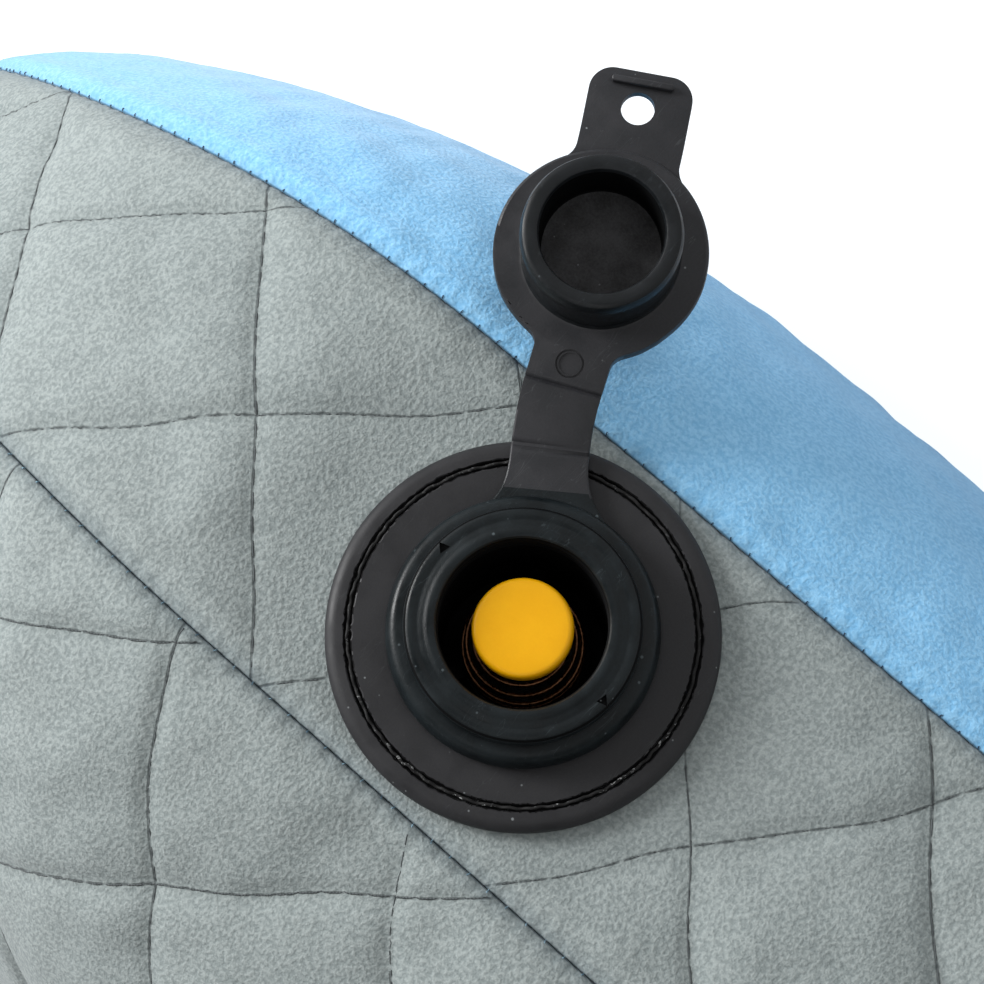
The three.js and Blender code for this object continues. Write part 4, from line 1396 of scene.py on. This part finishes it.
def makeSuede(name, look, pitches=None):
    # pitches: the spacings of the quilt lines, for a quilted piece
    values = suede[look]
    material, tree, shader, vector = begin(name, 0.95, Sheen_Weight=values["sheen"], Sheen_Roughness=0.45,
                                           Sheen_Tint=(0.93, 0.96, 1.0, 1.0), Specular_IOR_Level=0.15)
    nap = useGroup(tree, napGroup, Vector=vector, Tuft=values["tuft"])
    color = mixColor(tree, nap["Tone"], linear(*values["low"]), linear(*values["high"]))
    edgeUv = add(tree, "ShaderNodeUVMap", uv_map="edge")
    edge = add(tree, "ShaderNodeSeparateXYZ")
    feed(tree, edge.inputs[0], edgeUv.outputs[0])
    seamLine = ramp(tree, edge.outputs[1], 0.03, 0.27, 1.0, 0.0)
    seamPaintedShade = ramp(tree, edge.outputs[1], 0.4, 2.6, 1.0, 0.0)
    height = nap["Height"]
    if pitches:
        quiltUv = add(tree, "ShaderNodeUVMap", uv_map="quilt")
        stitches = useGroup(tree, linesGroup, Vector=quiltUv.outputs[0], Pitch_A=pitches[0],
                            Pitch_B=pitches[1], Stitch=quilt["stitch"])
        shown = plainMask(tree, vector, stitches["Side"])
        line = times(tree, stitches["Line"], shown)
        # painted shade: the cloth is coloured darker across the valley beside each quilt line
        color = mixColor(tree, times(tree, stitches["ValleyShade"], times(tree, shown, 0.10)),
                         color, linear(98, 106, 106))
        # painted shade along the stitched crease of each quilt line, darker along each stitch
        color = mixColor(tree, times(tree, line, 0.66), color, linear(72, 78, 79))
        # painted shade in the dimple where the needle went through
        color = mixColor(tree, times(tree, stitches["NeedleShade"], times(tree, shown, 0.35)),
                         color, linear(44, 48, 50))
        height = minus(tree, height, times(tree, line, 0.8))
    # painted shade where the cloth turns in at the seam
    color = mixColor(tree, times(tree, seamPaintedShade, 0.18), color, linear(70, 90, 104))
    color = mixColor(tree, times(tree, seamLine, 0.6), color, linear(34, 58, 74))
    feed(tree, shader.inputs["Base Color"], color)
    bumped(tree, shader, height, values["bump"], 0.7)
    return material


greyGusset = makeSuede("grey_suede_gusset", "grey", gussetPitches)
greyPanel = makeSuede("grey_suede_panel", "grey", panelPitches)
bluePanel = makeSuede("blue_suede", "blue")


def makePlastic(name, low, high, roughness, dust, scratches, grainBump, speck=(150, 156, 158),
                speckShare=0.6, roughSwing=0.12, **sockets):
    material, tree, shader, vector = begin(name, roughness, **sockets)
    parts = useGroup(tree, mouldedGroup, Vector=vector, Dust=dust, Scratches=scratches)
    tone = ramp(tree, parts["Tone"], 0.3, 0.7)
    color = mixColor(tree, tone, linear(*low), linear(*high))
    color = mixColor(tree, times(tree, parts["Specks"], speckShare), color, linear(*speck))
    feed(tree, shader.inputs["Base Color"], color)
    gloss = ramp(tree, parts["Haze"], 0.3, 0.7, roughness - roughSwing, roughness + roughSwing)
    feed(tree, shader.inputs["Roughness"], gloss)
    bumped(tree, shader, parts["Grain"], grainBump, 0.05)
    return material


flangeFinish = makePlastic("flange_plastic", (38, 38, 40), (46, 46, 48), 0.52, 0.3, 0.06, 0.35,
                           Specular_IOR_Level=0.25)
# painted shade: the stitch groove is coloured near black, with dust specks
grooveShadeFinish = makePlastic("groove_shade_black", (10, 10, 11), (18, 18, 19), 0.8, 0.9, 0.5, 0.5,
                           (140, 142, 142), 0.5, Specular_IOR_Level=0.1)
valveFinish = makePlastic("valve_plastic", (9, 14, 16), (22, 29, 32), 0.40, 0.9, 0.35, 0.5,
                          (96, 106, 110), 0.5, Specular_IOR_Level=0.22)
plugFinish = makePlastic("plug_plastic", (14, 17, 19), (24, 27, 30), 0.42, 0.5, 0.3, 0.3,
                         (96, 104, 108), 0.4, Specular_IOR_Level=0.25)
# painted shade: a near-black finish for the valve's bore, the recessed marks on its lip and the wall of the
# cap's cup, where shade falls
shadeBlackFinish = makePlastic("painted_shade_black", (5, 6, 7), (9, 10, 11), 0.7, 0.1, 0.0, 0.2, Specular_IOR_Level=0.08)
strapFinish = makePlastic("strap_plastic", (36, 37, 40), (46, 46, 49), 0.48, 0.35, 0.12, 0.45,
                          Specular_IOR_Level=0.32)
cupFinish = makePlastic("cup_grain", (24, 24, 25), (74, 74, 76), 0.6, 1.0, 0.0, 1.0,
                        (120, 120, 122), 0.8, Specular_IOR_Level=0.25)
orangeFinish = makePlastic("orange_plastic", (242, 174, 2), (248, 182, 6), 0.42, 0.0, 0.0, 0.06,
                           (250, 196, 50), 0.2, 0.05,
                           Subsurface_Weight=0.05, Subsurface_Scale=0.002, Specular_IOR_Level=0.25)
rubberFinish = makePlastic("seal_rubber", (34, 36, 38), (46, 48, 50), 0.7, 0.2, 0.1, 0.4)


def makeThread(name, low, high):
    material, tree, shader, vector = begin(name, 0.8, Sheen_Weight=0.1)
    twist = add(tree, "ShaderNodeTexWave", wave_type="BANDS", bands_direction="DIAGONAL")
    feed(tree, twist.inputs["Vector"], vector)
    twist.inputs["Scale"].default_value = 900.0
    twist.inputs["Distortion"].default_value = 2.0
    color = mixColor(tree, twist.outputs["Fac"], linear(*low), linear(*high))
    feed(tree, shader.inputs["Base Color"], color)
    bumped(tree, shader, twist.outputs["Fac"], 0.4, 0.06)
    return material


def makeFlangeThread():
    # black bonded thread with worn, whitish filaments here and there
    material, tree, shader, vector = begin("black_thread", 0.75)
    spots = ramp(tree, noise(tree, vector, 0.45, 2.0), 0.58, 0.66)
    place = ramp(tree, noise(tree, vector, 5.0, 2.0), 0.46, 0.60)
    across = add(tree, "ShaderNodeVectorMath", operation="DOT_PRODUCT")
    feed(tree, across.inputs[0], vector)
    wornX, wornZ = -0.67, 0.74                      # most worn towards this side of the flange
    across.inputs[1].default_value = (wornX, 0.0, wornZ)
    start = wornX * valveSpot.x + wornZ * valveSpot.z
    worn = ramp(tree, across.outputs["Value"], start - 6 * mm, start + 12 * mm, 0.2, 1.0)
    place = times(tree, place, worn)
    color = mixColor(tree, times(tree, spots, place), linear(8, 8, 9), linear(158, 160, 160))
    feed(tree, shader.inputs["Base Color"], color)
    bumped(tree, shader, spots, 0.5, 0.08)
    return material


quiltThread = makeThread("quilt_thread", (56, 61, 63), (88, 94, 95))
navyThread = makeThread("navy_thread", (14, 30, 52), (38, 66, 92))
paleThread = makeThread("pale_thread", (70, 104, 124), (150, 184, 202))
flangeThread = makeFlangeThread()


def makeSteel():
    material, tree, shader, vector = begin("spring_steel", 0.34, Metallic=1.0)
    marks = noise(tree, vector, 0.5, 3.0)
    color = mixColor(tree, ramp(tree, marks, 0.3, 0.7), linear(92, 60, 40), linear(158, 112, 80))
    feed(tree, shader.inputs["Base Color"], color)
    feed(tree, shader.inputs["Roughness"], ramp(tree, marks, 0.3, 0.7, 0.26, 0.44))
    return material


def makeInner(name, low, high, wave, roughness, bump):
    material, tree, shader, vector = begin(name, roughness)
    mottle = noise(tree, vector, wave, 3.0)
    color = mixColor(tree, ramp(tree, mottle, 0.3, 0.7), linear(*low), linear(*high))
    feed(tree, shader.inputs["Base Color"], color)
    bumped(tree, shader, mottle, bump, 0.4)
    return material


steelFinish = makeSteel()
waddingFinish = makeInner("wadding", (222, 222, 216), (240, 240, 236), 2.5, 0.95, 0.7)
filmFinish = makeInner("bladder_film", (198, 204, 206), (220, 224, 225), 12.0, 0.4, 0.2)


def give(piece, *materials):
    piece.data.materials.clear()
    for material in materials:
        piece.data.materials.append(material)


# what each piece is made of
give(topCover, greyPanel)
give(underCover, bluePanel)
give(frontGusset, greyGusset)
give(backGusset, greyGusset)
for piece in (topThread, frontThread, backThread):
    give(piece, quiltThread)
give(underStitches, navyThread)
give(topStitches, paleThread)
give(flangePiece, flangeFinish, grooveShadeFinish)
give(flangeStitches, flangeThread)
give(body, valveFinish, shadeBlackFinish)
give(buttonPiece, orangeFinish)
give(springPiece, steelFinish)
give(tetherPiece, valveFinish, strapFinish)
give(capPiece, strapFinish, cupFinish, shadeBlackFinish, plugFinish)
# the cup's wall takes the near-black of painted shade
for number, faces in ((1, cupFaces), (2, wallFaces), (3, plugFaces)):
    for index in faces:
        capPiece.data.polygons[index].material_index = number
toValve = valvePlace.inverted()
# faces in the stitch groove take the near-black of painted shade
for face in flangePiece.data.polygons:
    spot = toValve @ face.center / mm
    inGroove = abs(math.hypot(spot.x, spot.y) - flange["groove"]) < flange["grooveHalf"] + 0.06
    face.material_index = 1 if inGroove and 1.5 < spot.z < flange["top"] - 0.03 else 0
# the bore and the recessed marks take the near-black of painted shade
for face in body.data.polygons:
    spot = toValve @ face.center / mm
    reach = math.hypot(spot.x, spot.y)
    below = valve["lipTop"] - spot.z
    inMark = abs(reach - valve["markRadius"]) < 0.9 and 0.12 < below < 0.8
    inBore = reach < valve["bore"] + 0.1 and spot.z < valve["mouth"] - 0.35
    face.material_index = 1 if inBore or inMark else 0
for face in tetherPiece.data.polygons:
    spot = toValve @ face.center / mm
    face.material_index = 1 if spot.x > ring["outer"] + 0.8 and abs(spot.y) < 9 else 0

# the imported nodes that these pieces stand for are hidden
for piece, node, slot in ((topCover, "top_panel", "grey_suede"),
                          (underCover, "bottom_panel", "blue_suede"),
                          (frontGusset, "gusset_front", "grey_suede"),
                          (backGusset, "gusset_back", "grey_suede"),
                          (flangePiece, "cover_flange", "flange_plastic"),
                          (flangeStitches, "flange_thread", "black_thread"),
                          (body, "valve_body", "valve_plastic"), (buttonPiece, "button", "orange_plastic"),
                          (springPiece, "spring", "spring_steel"), (capPiece, "cap", "valve_plastic")):
    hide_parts(node)
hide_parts("tether_ring", "strap_link")

# which body each piece rides on
for piece in (topCover, underCover, frontGusset, backGusset, topThread, frontThread, backThread,
              underStitches, topStitches, flangePiece, flangeStitches, body, springPiece):
    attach(piece, "root")
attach(buttonPiece, "plunger")
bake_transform(tetherPiece)
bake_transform(capPiece)
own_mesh(springPiece)

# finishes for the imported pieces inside
carried = {
    "top_wadding": waddingFinish,
    "gusset_wadding_front": waddingFinish, "gusset_wadding_back": waddingFinish,
    "bladder_top": filmFinish, "bladder_bottom": filmFinish, "bladder_wall": filmFinish,
    "baffle_1": filmFinish, "baffle_2": filmFinish, "baffle_3": filmFinish, "baffle_4": filmFinish,
    "weld_socket": filmFinish,
    "socket_seal": rubberFinish, "seal_disc": rubberFinish, "retainer": orangeFinish,
}
for name, material in carried.items():
    node = frame["nodes"][name]
    for slotOfNode in node.material_slots:
        slotOfNode.material = material
    if not node.material_slots:
        node.data.materials.append(material)

print("stage")
bpy.ops.object.select_all(action="DESELECT")
bpy.ops.mesh.primitive_plane_add(size=8, location=(0, 0, 0))
floorPiece = bpy.context.object
floorPiece.name = "floor"
floorFinish, tree, shader, vector = begin("floor_white", 0.8)
floorTone = mixColor(tree, noise(tree, vector, 400.0, 1.0), (0.34, 0.34, 0.34, 1), (0.37, 0.37, 0.37, 1))
feed(tree, shader.inputs["Base Color"], floorTone)
# the floor looks white, but lights the pillow less than that
floorSeen = add(tree, "ShaderNodeLightPath")
floorGlow = mixColor(tree, floorSeen.outputs["Is Camera Ray"], (0.44, 0.44, 0.44, 1), (1.0, 1.0, 1.0, 1))
feed(tree, shader.inputs["Emission Color"], floorGlow)
shader.inputs["Emission Strength"].default_value = 0.92
give(floorPiece, floorFinish)

world = bpy.data.worlds.new("studio")
bpy.context.scene.world = world
world.use_nodes = True
worldTree = world.node_tree
sky = worldTree.nodes["Background"]
sky.inputs["Color"].default_value = (1.0, 1.0, 1.0, 1)
sky.inputs["Strength"].default_value = 0.17
white = add(worldTree, "ShaderNodeBackground")         # what the camera sees behind the pillow
white.inputs["Color"].default_value = (1.0, 1.0, 1.0, 1)
white.inputs["Strength"].default_value = 1.0
seen = add(worldTree, "ShaderNodeLightPath")
choose = add(worldTree, "ShaderNodeMixShader")
feed(worldTree, choose.inputs[0], seen.outputs["Is Camera Ray"])
feed(worldTree, choose.inputs[1], sky.outputs[0])
feed(worldTree, choose.inputs[2], white.outputs[0])
feed(worldTree, worldTree.nodes["World Output"].inputs[0], choose.outputs[0])


def softbox(name, spot, aimAt, wide, high, power):
    light = bpy.data.lights.new(name, "AREA")
    light.shape = "RECTANGLE"
    light.size, light.size_y = wide, high
    light.energy = power
    lamp = bpy.data.objects.new(name, light)
    bpy.context.scene.collection.objects.link(lamp)
    lamp.location = spot
    lamp.rotation_euler = (Vector(aimAt) - Vector(spot)).to_track_quat("-Z", "Y").to_euler()


softbox("key", (1.3, -0.64, 0.5), valveSpot, 0.7, 0.6, 29.0)
softbox("front", (-0.25, -1.5, 0.75), valveSpot, 1.0, 0.8, 2.7)
softbox("overhead", (0.1, -0.1, 1.4), (0, 0, 0.05), 1.4, 1.2, 2.0)
softbox("back", (-0.7, 1.4, 0.75), (0, 0, 0.05), 1.2, 1.0, 24.0)

viewpoint = {
    "azimuth": -9.424, "elevation": 9.31, "roll": -137.951,
    "distance": 371.78, "aside": -3.772, "above": 17.498, "lens": 112.237,
}
camera = bpy.data.cameras.new("camera")
camera.lens = viewpoint["lens"]
camera.sensor_width = 36.0
camera.clip_start = 0.01
eye = bpy.data.objects.new("camera", camera)
bpy.context.scene.collection.objects.link(eye)
around, lift, roll = (math.radians(viewpoint[key]) for key in ("azimuth", "elevation", "roll"))
backward = Vector((math.sin(around) * math.cos(lift), -math.cos(around) * math.cos(lift), math.sin(lift)))
flatRight = Vector((math.cos(around), math.sin(around), 0))
flatUp = backward.cross(flatRight)
rightWay = math.cos(roll) * flatRight + math.sin(roll) * flatUp
upWay = -math.sin(roll) * flatRight + math.cos(roll) * flatUp
offset = rightWay * viewpoint["aside"] + upWay * viewpoint["above"] + backward * viewpoint["distance"]
spot = valveSpot + offset * mm
eye.matrix_world = Matrix.Translation(spot) @ Matrix((rightWay, upWay, backward)).transposed().to_4x4()
bpy.context.scene.camera = eye
bpy.context.scene.view_settings.view_transform = "Standard"
bpy.context.scene.view_settings.look = "None"
